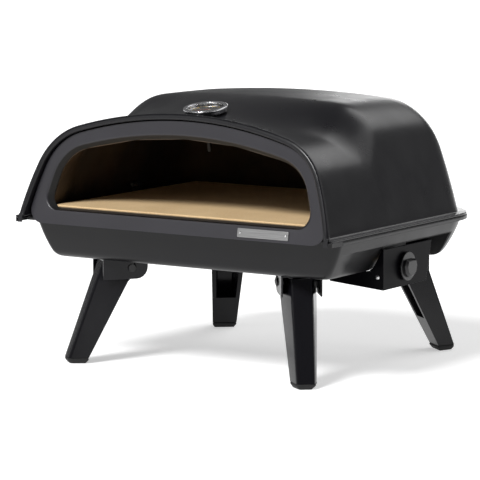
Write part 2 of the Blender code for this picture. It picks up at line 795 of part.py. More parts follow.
def make_liner(root):
    """The inner dome, with a flange that ends clear of the screws."""
    bm, rows = dome_surface(LINER_DOME)
    chain = foot_chain(LINER_DOME, rows)
    feet = [vertex for vertex, _ in chain]
    flange = hood_screw_x() - HOOD_SCREW_RADIUS - HOLE_CLEARANCE - LINER_BODY.half_width
    edges = [bm.verts.new(vertex.co + outward * flange) for vertex, outward in chain]
    strip(bm, feet, edges)
    liner = place("hood_liner", sheet_mesh("hood_liner", bm, (0, 0, LINER_FOOT)), STEEL, root)
    thicken(liner, LINER_SHEET)
    cut(liner, [probe_hole("liner_probe_hole", root, 2 * PROBE_RADIUS)])


# Front panel with its bare plate

def on_panel(x, z, back=0):
    return (x, panel_y(z) + back, z)


def make_front_panel(root):
    """A leaning sheet with a lip that runs back round the mouth, and a foot that runs back to the tub's brim."""
    sheet = PANEL_SHEET
    levels = (
        (PANEL_OUTLINE, PANEL_FOOT, PANEL_CORNER, 0),
        (MOUTH, MOUTH_FOOT, MOUTH_CORNER, 0),
        (MOUTH_LIP, MOUTH_FOOT, MOUTH_CORNER, MOUTH_LIP_DEPTH),
        (inset_arch(MOUTH_LIP, -sheet, sheet), MOUTH_FOOT - sheet, MOUTH_CORNER + sheet, MOUTH_LIP_DEPTH),
        (inset_arch(MOUTH, -sheet, sheet), MOUTH_FOOT - sheet, MOUTH_CORNER + sheet, sheet),
        (PANEL_OUTLINE, PANEL_FOOT, PANEL_CORNER, sheet),
    )
    bm = bmesh.new()
    rings = [[bm.verts.new(on_panel(x, foot + up, back)) for x, up in closed_arch(arch, corner)]
             for arch, foot, corner, back in levels]
    for ring, following in zip(rings, rings[1:] + rings[:1]):
        strip(bm, ring + ring[:1], following + following[:1])
    panel = place("front_panel", closed_mesh("front_panel", bm), HOOD_PAINT, root)
    half = PANEL_OUTLINE.half_width - 2 * PANEL_CORNER
    brim = TUB_FRONT - TUB_BRIM_WIDTH - GAP
    foot = block((-half, panel_y(PANEL_FOOT) + sheet / 2, PANEL_FOOT), (half, brim, PANEL_FOOT + sheet))
    join_solids(panel, [place("panel_foot", closed_mesh("panel_foot", foot), HOOD_PAINT, root)])


def make_plate(root):
    tilt = math.pi / 2 - math.atan(PANEL_SLOPE)
    out = Vector((0, -math.cos(math.atan(PANEL_SLOPE)), math.sin(math.atan(PANEL_SLOPE))))
    half = PLATE_LENGTH / 2
    seat = empty("plate_seat", Vector(on_panel(PLATE_CENTRE_X, PLATE_CENTRE_Z)) + out * GAP, root, (tilt, 0, 0))
    corner = [PLATE_CORNER] * 4
    outline = rounded_rectangle(-half, -PLATE_HEIGHT / 2, half, PLATE_HEIGHT / 2, corner, 2)
    place("nameplate", closed_mesh("nameplate", prism(outline, 0, PLATE_THICKNESS)), BRIGHT_STEEL, seat)
    profile = [(0, 0), (RIVET_RADIUS, 0), (RIVET_RADIUS * math.cos(math.pi / 4), RIVET_HEIGHT / 2), (0, RIVET_HEIGHT)]
    head = closed_mesh("rivet", turned(profile, SMALL_STEPS))
    for side, sign in (("left", -1), ("right", 1)):
        x = sign * (half - PLATE_EDGE_TO_RIVET)
        place(f"nameplate_rivet_{side}", head, BRIGHT_STEEL, seat, (x, 0, PLATE_THICKNESS + GAP))


# Tub, recess and shield

def tub_inset(z, wall):
    """How far a wall of the tub has moved in at height z: along its bow, then round the fillet to the floor."""
    turn = (TUB_BRIM - TUB_BOTTOM - TUB_FILLET + wall.bow * math.sin(wall.lean)) / (wall.bow - TUB_FILLET)
    across = math.sqrt(1 - turn ** 2)
    if z >= TUB_BOTTOM + TUB_FILLET * (1 - turn):
        sine = math.sin(wall.lean) + (TUB_BRIM - z) / wall.bow
        return wall.bow * (math.cos(wall.lean) - math.sqrt(1 - sine ** 2))
    sine = min(1 - (z - TUB_BOTTOM) / TUB_FILLET, 1)
    return wall.bow * (math.cos(wall.lean) - across) + TUB_FILLET * (across - math.sqrt(1 - sine ** 2))


def tub_levels():
    """Heights down the tub's walls, closer together round the fillet."""
    low = TUB_BOTTOM + TUB_FILLET
    levels = [TUB_BRIM + (low - TUB_BRIM) * k / WALL_STEPS for k in range(WALL_STEPS + 1)]
    return levels + [low - TUB_FILLET * math.sin(math.pi / 2 * k / FILLET_STEPS) for k in range(1, FILLET_STEPS + 1)]


def tub_side(y, high):
    """The outer face of the tub's right wall at y as (x, z), from a height down to the floor."""
    points = []
    for z in [high] + [level for level in tub_levels() if level < high]:
        corner_start = TUB_BACK - tub_inset(z, TUB_BACK_WALL) - TUB_BACK_CORNER
        into_corner = max(y - corner_start, 0)
        drawn_in = TUB_BACK_CORNER - math.sqrt(TUB_BACK_CORNER ** 2 - into_corner ** 2)
        points.append((TUB_HALF_WIDTH - tub_inset(z, TUB_SIDE_WALL) - drawn_in, z))
    return points


def tub_ring(z):
    half = TUB_HALF_WIDTH - tub_inset(z, TUB_SIDE_WALL)
    front = TUB_FRONT + tub_inset(z, TUB_FRONT_WALL)
    back = TUB_BACK - tub_inset(z, TUB_BACK_WALL)
    radii = [TUB_FRONT_CORNER, TUB_BACK_CORNER, TUB_BACK_CORNER, TUB_FRONT_CORNER]
    return [(x, y, z) for x, y in rounded_rectangle(-half, front, half, back, radii)]


def brim_ring(z):
    """The inner face of the brim's turned edge."""
    out = TUB_BRIM_WIDTH - TUB_SHEET
    half = TUB_HALF_WIDTH + out
    back = TUB_BACK_CORNER + out
    radii = [TUB_BRIM_CORNER, back, back, TUB_BRIM_CORNER]
    return [(x, y, z) for x, y in rounded_rectangle(-half, TUB_FRONT - out, half, TUB_BACK + out, radii)]


def tub_ears(root):
    """The sides of the brim run on under the hood's flange, ahead of the tub's front wall."""
    ears = []
    outer = TUB_HALF_WIDTH + TUB_BRIM_WIDTH
    outline = [(HOOD_HALF_WIDTH, TUB_BRIM), (outer - TUB_SHEET, TUB_BRIM), (outer - TUB_SHEET, TUB_BRIM - TUB_LIP),
               (outer, TUB_BRIM - TUB_LIP), (outer, TUB_TOP), (HOOD_HALF_WIDTH, TUB_TOP)]
    for side, sign in (("right", 1), ("left", -1)):
        places = (RIM_FRONT + HOOD_SHEET + GAP, TUB_FRONT - TUB_BRIM_WIDTH + TUB_BRIM_CORNER)
        ear = loft([[(sign * x, y, z) for x, z in outline] for y in places])
        ears.append(place(f"tub_ear_{side}", closed_mesh("tub_ear", ear), TUB_PAINT, root))
    return ears


def make_tub(root):
    rings = [brim_ring(TUB_BRIM - TUB_LIP), brim_ring(TUB_BRIM)] + [tub_ring(z) for z in tub_levels()]
    bm = loft(rings, cap=False)
    bm.verts.ensure_lookup_table()
    count = len(rings[0])
    bm.faces.new(bm.verts[-count:])
    tub = place("tub", sheet_mesh("tub", bm, (0, 0, TUB_TOP + OVERRUN)), TUB_PAINT, root)
    thicken(tub, TUB_SHEET)
    join_solids(tub, tub_ears(root))
    low = (NOTCH_LEFT, NOTCH_FRONT, TUB_BOTTOM - OVERRUN)
    high = (TUB_HALF_WIDTH + OVERRUN, NOTCH_BACK, NOTCH_TOP)
    notch = place("tub_notch", closed_mesh("tub_notch", block(low, high)), STEEL, root)
    cutters = [notch] + screw_holes("tub", root)
    for name, azimuth in LEG_AZIMUTHS.items():
        x, y = bracket_rivet_place(azimuth)
        hole = rod(BRACKET_RIVET_RADIUS + HOLE_CLEARANCE, TUB_BOTTOM - OVERRUN, TUB_BOTTOM + OVERRUN)
        cutters.append(place(f"tub_rivet_hole_{name}", closed_mesh("hole", hole), STEEL, root, (x, y, 0)))
    cut(tub, cutters)


def open_box(low, high, missing):
    """A box of faces without those named, such as 'right' and 'bottom'."""
    (x0, y0, z0), (x1, y1, z1) = low, high
    bm = bmesh.new()
    corner = {(i, j, k): bm.verts.new((x, y, z))
              for i, x in enumerate((x0, x1)) for j, y in enumerate((y0, y1)) for k, z in enumerate((z0, z1))}
    faces = {
        "left": [(0, 0, 0), (0, 0, 1), (0, 1, 1), (0, 1, 0)],
        "right": [(1, 0, 0), (1, 1, 0), (1, 1, 1), (1, 0, 1)],
        "front": [(0, 0, 0), (1, 0, 0), (1, 0, 1), (0, 0, 1)],
        "back": [(0, 1, 0), (0, 1, 1), (1, 1, 1), (1, 1, 0)],
        "bottom": [(0, 0, 0), (0, 1, 0), (1, 1, 0), (1, 0, 0)],
        "top": [(0, 0, 1), (1, 0, 1), (1, 1, 1), (0, 1, 1)],
    }
    for name, keys in faces.items():
        if name not in missing:
            bm.faces.new([corner[key] for key in keys])
    return bm


def supply_y(x):
    """The supply tube starts in line with the valve, then runs slightly askew to the riser."""
    return VALVE_Y + (RISER_Y - VALVE_Y) * max(NOTCH_LEFT - x, 0) / (NOTCH_LEFT - BAR_X)


def supply_hole(name, x, root):
    """A cutter along X where the supply tube passes a sheet."""
    bm = rod(SUPPLY_RADIUS + HOLE_CLEARANCE, -OVERRUN, OVERRUN, ROUND_STEPS)
    return place(name, closed_mesh(name, bm), STEEL, root, (x, supply_y(x), SUPPLY_Z), (0, math.pi / 2, 0))


def make_recess(root):
    """The dark recess behind the valve, open to the right and below, with ends that follow the tub's wall."""
    clear = RECESS_SHEET + GAP
    left, top = NOTCH_LEFT + GAP, NOTCH_TOP - GAP
    bm = bmesh.new()
    front, back = [[bm.verts.new((x, y, z)) for x, z in [(left, TUB_BOTTOM), (left, top)] + tub_side(y, top)]
                   for y in (NOTCH_FRONT + GAP, NOTCH_BACK - GAP)]
    bm.faces.new(front)
    bm.faces.new(back)
    strip(bm, front[:3], back[:3])
    middle = (BOX_FACE, (NOTCH_FRONT + NOTCH_BACK) / 2, TUB_BOTTOM)
    recess = place("valve_recess", sheet_mesh("valve_recess", bm, middle), DARK_STEEL, root)
    thicken(recess, RECESS_SHEET)
    cut(recess, [supply_hole("recess_hole", NOTCH_LEFT + clear / 2, root)])


def make_shield(root):
    floor = TUB_BOTTOM + TUB_SHEET + GAP
    low = (-SHIELD_HALF_WIDTH, SHIELD_FRONT, floor)
    high = (SHIELD_HALF_WIDTH, SHIELD_BACK, floor + SHIELD_HEIGHT)
    bm = open_box(low, high, ("bottom",))
    middle = [(a + b) / 2 for a, b in zip(low, high)]
    shield = place("bottom_shield", sheet_mesh("bottom_shield", bm, middle), STEEL, root)
    thicken(shield, SHIELD_SHEET)


# Stone and rails

def make_stone(root):
    half = STONE_HALF_WIDTH
    back = STONE_FRONT + STONE_DEPTH
    outline = rounded_rectangle(-half, STONE_FRONT, half, back, [2 * STONE_EDGE] * 4, 2)
    inner = rounded_rectangle(-half + STONE_EDGE, STONE_FRONT + STONE_EDGE, half - STONE_EDGE, back - STONE_EDGE,
                              [STONE_EDGE] * 4, 2)
    bottom = STONE_TOP - STONE_THICKNESS
    levels = ((inner, bottom), (outline, bottom + STONE_EDGE), (outline, STONE_TOP - STONE_EDGE), (inner, STONE_TOP))
    bm = loft([[(x, y, z) for x, y in ring] for ring, z in levels])
    place("pizza_stone", closed_mesh("pizza_stone", bm), STONE, root)


def make_rails(root):
    """Angle rails that stand on the shield and carry the stone."""
    bottom = TUB_BOTTOM + TUB_SHEET + GAP + SHIELD_HEIGHT + GAP
    top = STONE_TOP - STONE_THICKNESS - GAP
    for side, sign in (("left", -1), ("right", 1)):
        x = sign * RAIL_X
        bm = bmesh.new()
        path = [(x, bottom), (x, top), (x - sign * RAIL_FLANGE, top)]
        front = [bm.verts.new((px, RAIL_FRONT, pz)) for px, pz in path]
        back = [bm.verts.new((px, RAIL_BACK, pz)) for px, pz in path]
        strip(bm, front, back)
        rail = place(f"stone_rail_{side}", sheet_mesh("rail", bm, (0, 0, bottom)), STEEL, root)
        thicken(rail, RAIL_SHEET)
        cut(rail, [supply_hole(f"rail_hole_{side}", x - sign * RAIL_SHEET / 2, root)])


# Burner

def make_burner(root):
    bar = rod(BAR_RADIUS, 0, BAR_BACK - BAR_FRONT, ROUND_STEPS)
    along_y = (-math.pi / 2, 0, 0)
    place("burner_bar", closed_mesh("burner_bar", bar), STEEL, root, (BAR_X, BAR_FRONT, BAR_Z), along_y)
    half = GUARD_HALF_WIDTH
    outline = rounded_rectangle(-half, -GUARD_BELOW, half, GUARD_ABOVE, [GUARD_CORNER] * 4, 2)
    guard = closed_mesh("flame_guard", prism(outline, 0, GUARD_SHEET))
    upright = (math.pi / 2, 0, 0)
    seat = (BAR_X, BAR_FRONT - GAP, BAR_Z)
    guard = place("flame_guard", guard, DARK_STEEL, root, seat, upright)
    hole = rod(IGNITER_RADIUS + HOLE_CLEARANCE, -OVERRUN, OVERRUN, MIDDLE_STEPS)
    igniter_seat = (BAR_X, BAR_FRONT - GAP - GUARD_SHEET / 2, BAR_Z + IGNITER_RISE)
    cut(guard, [place("igniter_hole", closed_mesh("igniter_hole", hole), STEEL, root, igniter_seat, upright)])
    profile = [(0, -IGNITER_FRONT), (IGNITER_RADIUS, -IGNITER_FRONT), (IGNITER_RADIUS, IGNITER_BACK),
               (ELECTRODE_RADIUS, IGNITER_BACK), (ELECTRODE_RADIUS, IGNITER_BACK + ELECTRODE_LENGTH),
               (0, IGNITER_BACK + ELECTRODE_LENGTH)]
    igniter = closed_mesh("igniter", turned(profile, SMALL_STEPS))
    place("igniter", igniter, CERAMIC, root, igniter_seat, along_y)
    start = NOTCH_LEFT + 2 * RECESS_SHEET + GAP
    points = [(start, VALVE_Y, SUPPLY_Z), (NOTCH_LEFT, VALVE_Y, SUPPLY_Z)]
    bend_x = BAR_X + SUPPLY_BEND
    for across, up in arc(bend_x, SUPPLY_Z + SUPPLY_BEND, SUPPLY_BEND, -math.pi / 2, -math.pi, CORNER_STEPS):
        points.append((across, supply_y(across), up))
    points.append((BAR_X, RISER_Y, BAR_Z - BAR_RADIUS - GAP))
    pipe("burner_supply", points, SUPPLY_RADIUS, 4, STEEL, root)


# Valve, box and knob

def make_valve(root):
    along_x = (0, math.pi / 2, 0)
    back_of_face = BOX_FACE - BOX_SHEET
    length = back_of_face - GAP - VALVE_LEFT
    shoulder = length - VALVE_NECK_LENGTH
    profile = [(0, 0), (VALVE_RADIUS, 0), (VALVE_RADIUS, shoulder), (VALVE_NECK_RADIUS, shoulder),
               (VALVE_NECK_RADIUS, length), (STEM_RADIUS + RUNNING_GAP, length),
               (STEM_RADIUS + RUNNING_GAP, shoulder - KNOB_TRAVEL - RUNNING_GAP),
               (0, shoulder - KNOB_TRAVEL - RUNNING_GAP)]
    body = turned(profile)
    place("valve_body", closed_mesh("valve_body", body), BRASS, root, (VALVE_LEFT, VALVE_Y, VALVE_Z), along_x)
    stem = rod(STEM_RADIUS, 0, STEM_LENGTH, ROUND_STEPS)
    stem_left = VALVE_LEFT + shoulder
    place("valve_stem", closed_mesh("valve_stem", stem), BRASS, root, (stem_left, VALVE_Y, VALVE_Z), along_x)

    knob_x = BOX_FACE + RUNNING_GAP + KNOB_TRAVEL
    bore = STEM_RADIUS + GAP
    depth = stem_left + STEM_LENGTH + GAP - knob_x
    profile = [(0, 0), (KNOB_RADIUS, 0), (KNOB_RADIUS, KNOB_SKIRT - KNOB_EDGE), (KNOB_RADIUS - KNOB_EDGE, KNOB_SKIRT),
               (0, KNOB_SKIRT)]
    seat = (knob_x, VALVE_Y, VALVE_Z)
    knob = place("knob", closed_mesh("knob", turned(profile)), KNOB_PLASTIC, root, seat, along_x)
    grip = place("knob_grip", closed_mesh("knob_grip", knob_grip()), KNOB_PLASTIC, root, seat, along_x)
    join_solids(knob, [grip])
    hole = closed_mesh("knob_bore", rod(bore, -OVERRUN, depth, ROUND_STEPS))
    cut(knob, [place("knob_bore", hole, STEEL, root, seat, along_x)])

    pipe_x = VALVE_LEFT - GAP
    end_x = NOTCH_LEFT + 2 * RECESS_SHEET + 2 * GAP
    rise = SUPPLY_Z - VALVE_Z
    middle_x = (pipe_x + end_x) / 2
    bend = PIPE_BEND
    points = [(pipe_x, VALVE_Y, VALVE_Z)]
    points += [(x, VALVE_Y, z) for x, z in arc(middle_x + bend, VALVE_Z + bend, bend, -math.pi / 2, -math.pi,
                                               CORNER_STEPS)]
    points += [(x, VALVE_Y, z) for x, z in arc(middle_x - bend, VALVE_Z + rise - bend, bend, 0, math.pi / 2,
                                               CORNER_STEPS)]
    points.append((end_x, VALVE_Y, SUPPLY_Z))
    pipe("gas_pipe", points, PIPE_RADIUS, 2, BRASS, root)

    hexagon = hexagon_points(INLET_HEX_RADIUS)
    circle, tip = circle_points(INLET_RADIUS), circle_points(INLET_TIP_RADIUS)
    levels = ((hexagon, 0), (hexagon, INLET_HEX_LENGTH), (circle, INLET_HEX_LENGTH),
              (circle, INLET_LENGTH - INLET_TIP), (tip, INLET_LENGTH))
    inlet = loft([[(x, y, z) for x, y in ring] for ring, z in levels])
    inlet_seat = (VALVE_LEFT + VALVE_RADIUS, VALVE_Y + VALVE_RADIUS + GAP, VALVE_Z)
    place("gas_inlet", closed_mesh("gas_inlet", inlet), BRASS, root, inlet_seat, (-math.pi / 2, 0, 0))


def knob_grip():
    """A round grip with its upper side cut flat."""
    start = math.asin(KNOB_FLAT / KNOB_GRIP_RADIUS)
    outline = [(-y, x) for x, y in arc(0, 0, KNOB_GRIP_RADIUS, start, -math.pi - start, ROUND_STEPS)]
    shrink = 1 - KNOB_EDGE / KNOB_GRIP_RADIUS
    inner = [(x * shrink, y * shrink) for x, y in outline]
    top = KNOB_SKIRT + KNOB_GRIP
    levels = ((outline, KNOB_SKIRT / 2), (outline, top - KNOB_EDGE), (inner, top))
    return loft([[(x, y, z) for x, y in ring] for ring, z in levels])


def make_box(root):
    """Bent sheet: a face with the knob, a front cheek under the tub and a short rear cheek."""
    bm = bmesh.new()
    face_points = [(BOX_FRONT, BOX_BOTTOM), (BOX_BACK_BOTTOM, BOX_BOTTOM), (BOX_BACK_TOP, BOX_TOP),
                   (BOX_FRONT, BOX_TOP)]
    face = [bm.verts.new((BOX_FACE, y, z)) for y, z in face_points]
    bm.faces.new(face)
    contour = [(x + BOX_TO_TUB, z - BOX_TO_TUB) for x, z in tub_side(BOX_FRONT, BOX_TOP)]
    cheek = [(contour[0][0], BOX_TOP)] + contour[1:]
    cheek += [(BOX_TIP, TUB_BOTTOM - BOX_TO_TUB), (BOX_TIP, BOX_TIP_BOTTOM)]
    bm.faces.new([face[3]] + [bm.verts.new((x, BOX_FRONT, z)) for x, z in cheek] + [face[0]])
    rear_x = BOX_FACE - BOX_REAR_REACH
    rear = [bm.verts.new((rear_x, BOX_BACK_BOTTOM, BOX_BOTTOM)), bm.verts.new((rear_x, BOX_BACK_TOP, BOX_TOP))]
    bm.faces.new([face[1], rear[0], rear[1], face[2]])
    middle = (BOX_TIP, (BOX_FRONT + BOX_BACK_BOTTOM) / 2, BOX_BOTTOM)
    box = place("control_box", sheet_mesh("control_box", bm, middle), BOX_PAINT, root)
    thicken(box, BOX_SHEET)
    stem_hole = rod(STEM_RADIUS + RUNNING_GAP, -OVERRUN, OVERRUN, ROUND_STEPS)
    screw_hole = rod(BOX_SCREW_SHANK + HOLE_CLEARANCE, -OVERRUN, OVERRUN)
    screw_place = (BOX_SCREW_X, BOX_FRONT, BOX_SCREW_Z)
    cut(box, [
        place("stem_hole", closed_mesh("stem_hole", stem_hole), STEEL, root, (BOX_FACE, VALVE_Y, VALVE_Z),
              (0, math.pi / 2, 0)),
        place("screw_hole", closed_mesh("screw_hole", screw_hole), STEEL, root, screw_place, (math.pi / 2, 0, 0)),
    ])
    profile = [(0, -BOX_SCREW_LENGTH), (BOX_SCREW_SHANK, -BOX_SCREW_LENGTH), (BOX_SCREW_SHANK, GAP),
               (BOX_SCREW_RADIUS, GAP), (BOX_SCREW_RADIUS * math.cos(math.pi / 6), BOX_SCREW_HEIGHT / 2),
               (0, BOX_SCREW_HEIGHT)]
    place("box_screw", closed_mesh("box_screw", turned(profile, SMALL_STEPS)), BRIGHT_STEEL, root, screw_place,
          (math.pi / 2, 0, 0))


# Thermometer

def make_thermometer(root):
    location, rotation = thermo_seat()
    seat = empty("thermometer_seat", location, root, rotation)
    low = THERMO_LIFT
    case_low = low + THERMO_BOSS
    case_top = case_low + THERMO_CASE
    floor = case_low + THERMO_FLOOR
    inner = THERMO_RADIUS - THERMO_WALL
    bore = PROBE_RADIUS + GAP
    case = turned_ring([(bore, low), (THERMO_BOSS_RADIUS, low), (THERMO_BOSS_RADIUS, case_low),
                        (THERMO_RADIUS, case_low), (THERMO_RADIUS, case_top), (inner, case_top), (inner, floor),
                        (bore, floor)])
    place("thermometer_case", closed_mesh("thermometer_case", case), CHROME, seat)
    bezel_low = case_top + GAP
    top = bezel_low + BEZEL_HEIGHT
    edge = BEZEL_ROUND
    bezel = turned_ring([(BEZEL_INNER, bezel_low), (BEZEL_OUTER - edge, bezel_low), (BEZEL_OUTER, bezel_low + edge),
                         (BEZEL_OUTER, top - edge), (BEZEL_OUTER - edge, top), (BEZEL_INNER + edge, top),
                         (BEZEL_INNER, top - edge)])
    place("thermometer_bezel", closed_mesh("thermometer_bezel", bezel), CHROME, seat)
    dial_low = floor + GAP
    dial_top = dial_low + DIAL_THICKNESS
    spindle_hole = SPINDLE_RADIUS + RUNNING_GAP
    dial = turned_ring([(spindle_hole, dial_low), (inner - HOLE_CLEARANCE, dial_low),
                        (inner - HOLE_CLEARANCE, dial_top), (spindle_hole, dial_top)])
    place("thermometer_dial", closed_mesh("thermometer_dial", dial), DIAL, seat)
    pointer_low = dial_top + GAP
    pointer_top = pointer_low + POINTER_THICKNESS
    pointer = closed_mesh("thermometer_pointer", prism(pointer_outline(), pointer_low, pointer_top))
    spindle = closed_mesh("spindle", rod(SPINDLE_RADIUS, dial_low, pointer_top - POINTER_THICKNESS / 2))
    turn = (0, 0, POINTER_REST)
    hand = place("thermometer_pointer", pointer, POINTER, seat, (0, 0, 0), turn)
    join_solids(hand, [place("spindle", spindle, POINTER, seat, (0, 0, 0), turn)])
    glass_low = pointer_top + GAP
    glass = rod(inner - HOLE_CLEARANCE, glass_low, glass_low + GLASS_THICKNESS, ROUND_STEPS)
    place("thermometer_glass", closed_mesh("thermometer_glass", glass), GLASS, seat)
    probe = rod(PROBE_RADIUS, -PROBE_LENGTH, floor)
    place("thermometer_probe", closed_mesh("thermometer_probe", probe), STEEL, seat)
    nut_top = -HOOD_SHEET - THERMO_LIFT
    hexagon, hole = hexagon_points(NUT_RADIUS), circle_points(bore)
    levels = ((hexagon, nut_top), (hexagon, nut_top - NUT_HEIGHT), (hole, nut_top - NUT_HEIGHT), (hole, nut_top),
              (hexagon, nut_top))
    nut = loft([[(x, y, z) for x, y in ring] for ring, z in levels], cap=False)
    bmesh.ops.remove_doubles(nut, verts=nut.verts, dist=GAP / 10)
    place("thermometer_nut", closed_mesh("thermometer_nut", nut), STEEL, seat)


def pointer_outline():
    """A slim pointer with a round hub on the dial's axis, pointing along +Y."""
    half = POINTER_WIDTH / 2
    side = math.asin(half / POINTER_HUB)
    right = arc(0, 0, POINTER_HUB, math.pi / 2 - side, -math.pi / 2 + side, SMALL_STEPS // 2)
    left = [(-x, y) for x, y in right[::-1]]
    return [(0, POINTER_LENGTH)] + right + [(half, -POINTER_TAIL), (-half, -POINTER_TAIL)] + left


# Legs

def pivot_place(azimuth):
    """Where a leg that points along an azimuth has its pivot."""
    angle = math.radians(azimuth)
    return math.copysign(PIVOT_X, math.cos(angle)), math.copysign(PIVOT_Y, math.sin(angle))


def bracket_rivet_place(azimuth):
    """Where a bracket's rivet passes the tub's floor."""
    x, y = pivot_place(azimuth)
    angle = math.radians(azimuth)
    return x + BRACKET_RIVET_X * math.cos(angle), y + BRACKET_RIVET_X * math.sin(angle)


def leg_outer(z):
    """Outer face of the leg at height z."""
    share = (LEG_TOP - z) / (LEG_TOP - LEG_FOOT)
    return LEG_TOP_OUTER + (LEG_FOOT_OUTER - LEG_TOP_OUTER) * share


def leg_share(z):
    """From 0 at the knee and above it to 1 at the foot."""
    return max((LEG_KNEE - z) / (LEG_KNEE - LEG_FOOT), 0)


def leg_levels(lowest):
    """Points (x, z) down the leg's inner side: round the pivot, to the knee and down."""
    points = arc(0, 0, LEG_BOSS_RADIUS, LEG_HEAD_START, LEG_HEAD_END, LEG_HEAD_STEPS)
    knee = Vector((LEG_KNEE_INNER, LEG_KNEE))
    foot = Vector((LEG_FOOT_INNER, LEG_FOOT))
    points += [tuple(knee.lerp(foot, k * lowest / LEG_STEPS)) for k in range(LEG_STEPS + 1)]
    return points


def leg_section(x, z, wall=0.0, past=0.0):
    """A level section through the leg: a trapezium, wide inside, with round outer corners."""
    outer = leg_outer(z) - wall
    share = leg_share(z)
    outer_half = LEG_OUTER_TOP_HALF + (LEG_OUTER_FOOT_HALF - LEG_OUTER_TOP_HALF) * share - wall
    inner_half = LEG_INNER_TOP_HALF + (LEG_INNER_FOOT_HALF - LEG_INNER_TOP_HALF) * share - wall
    inner = x - past
    corner = LEG_CORNER - wall / 2
    turn = math.pi / 2 - math.atan((inner_half - outer_half) / (outer - inner))
    middle = outer_half - corner * math.tan(turn / 2)
    side = [(outer - corner * (1 - math.cos(turn * k / 2)), middle + corner * math.sin(turn * k / 2))
            for k in range(3)]
    side.append((inner, inner_half))
    return [(px, py, z) for px, py in side] + [(px, -py, z) for px, py in side[::-1]]


def make_leg_meshes():
    """The leg's solid, the hollow that leaves its walls, its boss and its bore."""
    solid = loft([leg_section(x, z) for x, z in leg_levels(1.0)])
    levels = leg_levels(LEG_HOLLOW_SHARE)
    top_x, top_z = levels[0]
    levels = [(top_x, top_z + OVERRUN)] + levels
    hollow = loft([leg_section(x, z, LEG_WALL, LEG_OPEN_SIDE) for x, z in levels])
    half = LEG_INNER_TOP_HALF
    boss = rod(LEG_BOSS_RADIUS, -half, half, MIDDLE_STEPS)
    bore = rod(PIN_RADIUS + RUNNING_GAP, -half - OVERRUN, half + OVERRUN)
    return [closed_mesh(name, bm) for name, bm in
            (("leg", solid), ("leg_hollow", hollow), ("leg_boss", boss), ("leg_bore", bore))]


def make_legs(root):
    leg_mesh, hollow_mesh, boss_mesh, bore_mesh = make_leg_meshes()
    pad_mesh = make_pad_mesh()
    bracket_mesh = make_bracket_mesh()
    pin_mesh = make_pin_mesh()
    rivet_mesh = make_bracket_rivet_mesh()
    reach = LEG_INNER_TOP_HALF + BRACKET_SHEET + OVERRUN
    bracket_bore_mesh = closed_mesh("bracket_bore", rod(PIN_RADIUS + HOLE_CLEARANCE, -reach, reach))
    plate_z = TUB_BOTTOM - PIVOT_Z
    rivet_hole = rod(BRACKET_RIVET_RADIUS + HOLE_CLEARANCE, plate_z - OVERRUN, plate_z + OVERRUN)
    rivet_hole_mesh = closed_mesh("bracket_rivet_hole", rivet_hole)
    along_y = (math.pi / 2, 0, 0)
    for name, azimuth in LEG_AZIMUTHS.items():
        pivot = empty(f"pivot_{name}", (*pivot_place(azimuth), PIVOT_Z), root, (0, 0, math.radians(azimuth)))
        leg = place(f"leg_{name}", leg_mesh, LEG_PAINT, pivot)
        join_solids(leg, [place(f"boss_{name}", boss_mesh, LEG_PAINT, pivot, (0, 0, 0), along_y)])
        cut(leg, [place(f"hollow_{name}", hollow_mesh, STEEL, pivot),
                  place(f"bore_{name}", bore_mesh, STEEL, pivot, (0, 0, 0), along_y)])
        place(f"foot_pad_{name}", pad_mesh, RUBBER, pivot)
        bracket = place(f"leg_bracket_{name}", bracket_mesh, LEG_PAINT, pivot)
        thicken(bracket, BRACKET_SHEET)
        cut(bracket, [place(f"bracket_bore_{name}", bracket_bore_mesh, STEEL, pivot, (0, 0, 0), along_y),
                      place(f"bracket_hole_{name}", rivet_hole_mesh, STEEL, pivot, (BRACKET_RIVET_X, 0, 0))])
        place(f"pivot_pin_{name}", pin_mesh, BRIGHT_STEEL, pivot, (0, 0, 0), along_y)
        x, y = bracket_rivet_place(azimuth)
        place(f"bracket_rivet_{name}", rivet_mesh, STEEL, root, (x, y, TUB_BOTTOM))


def make_pad_mesh():
    """A rubber cap under the foot, with its lower edge chamfered."""
    foot = leg_section(LEG_FOOT_INNER, LEG_FOOT)
    middle = sum((Vector(point) for point in foot), Vector()) / len(foot)
    levels = ((LEG_FOOT - GAP, 0), (PAD_CHAMFER - PIVOT_Z, 0), (-PIVOT_Z, PAD_CHAMFER))
    loops = []
    for z, draw_in in levels:
        loop = []
        for point in foot:
            aside = Vector(point) - middle
            moved = middle + aside * (1 - draw_in / aside.length)
            loop.append((moved.x, moved.y, z))
        loops.append(loop)
    return closed_mesh("foot_pad", loft(loops))


def make_bracket_mesh():
    """A U of sheet: a plate under the tub and two cheeks, rounded at their inner lower corners."""
    half = LEG_INNER_TOP_HALF + BRACKET_SIDE_GAP + BRACKET_SHEET
    top = TUB_BOTTOM - GAP - PIVOT_Z
    low = -BRACKET_DROP
    rounding = arc(BRACKET_INNER + BRACKET_ROUND, low + BRACKET_ROUND, BRACKET_ROUND, math.pi, 1.5 * math.pi,
                   CORNER_STEPS)
    outline = [(BRACKET_OUTER, top), (BRACKET_INNER, top)] + rounding
    outline.append((BRACKET_OUTER, low))
    bm = bmesh.new()
    right = [bm.verts.new((x, -half, z)) for x, z in outline]
    left = [bm.verts.new((x, half, z)) for x, z in outline]
    bm.faces.new(right)
    bm.faces.new(left)
    bm.faces.new((right[0], right[1], left[1], left[0]))
    return sheet_mesh("leg_bracket", bm, (0, 0, low))


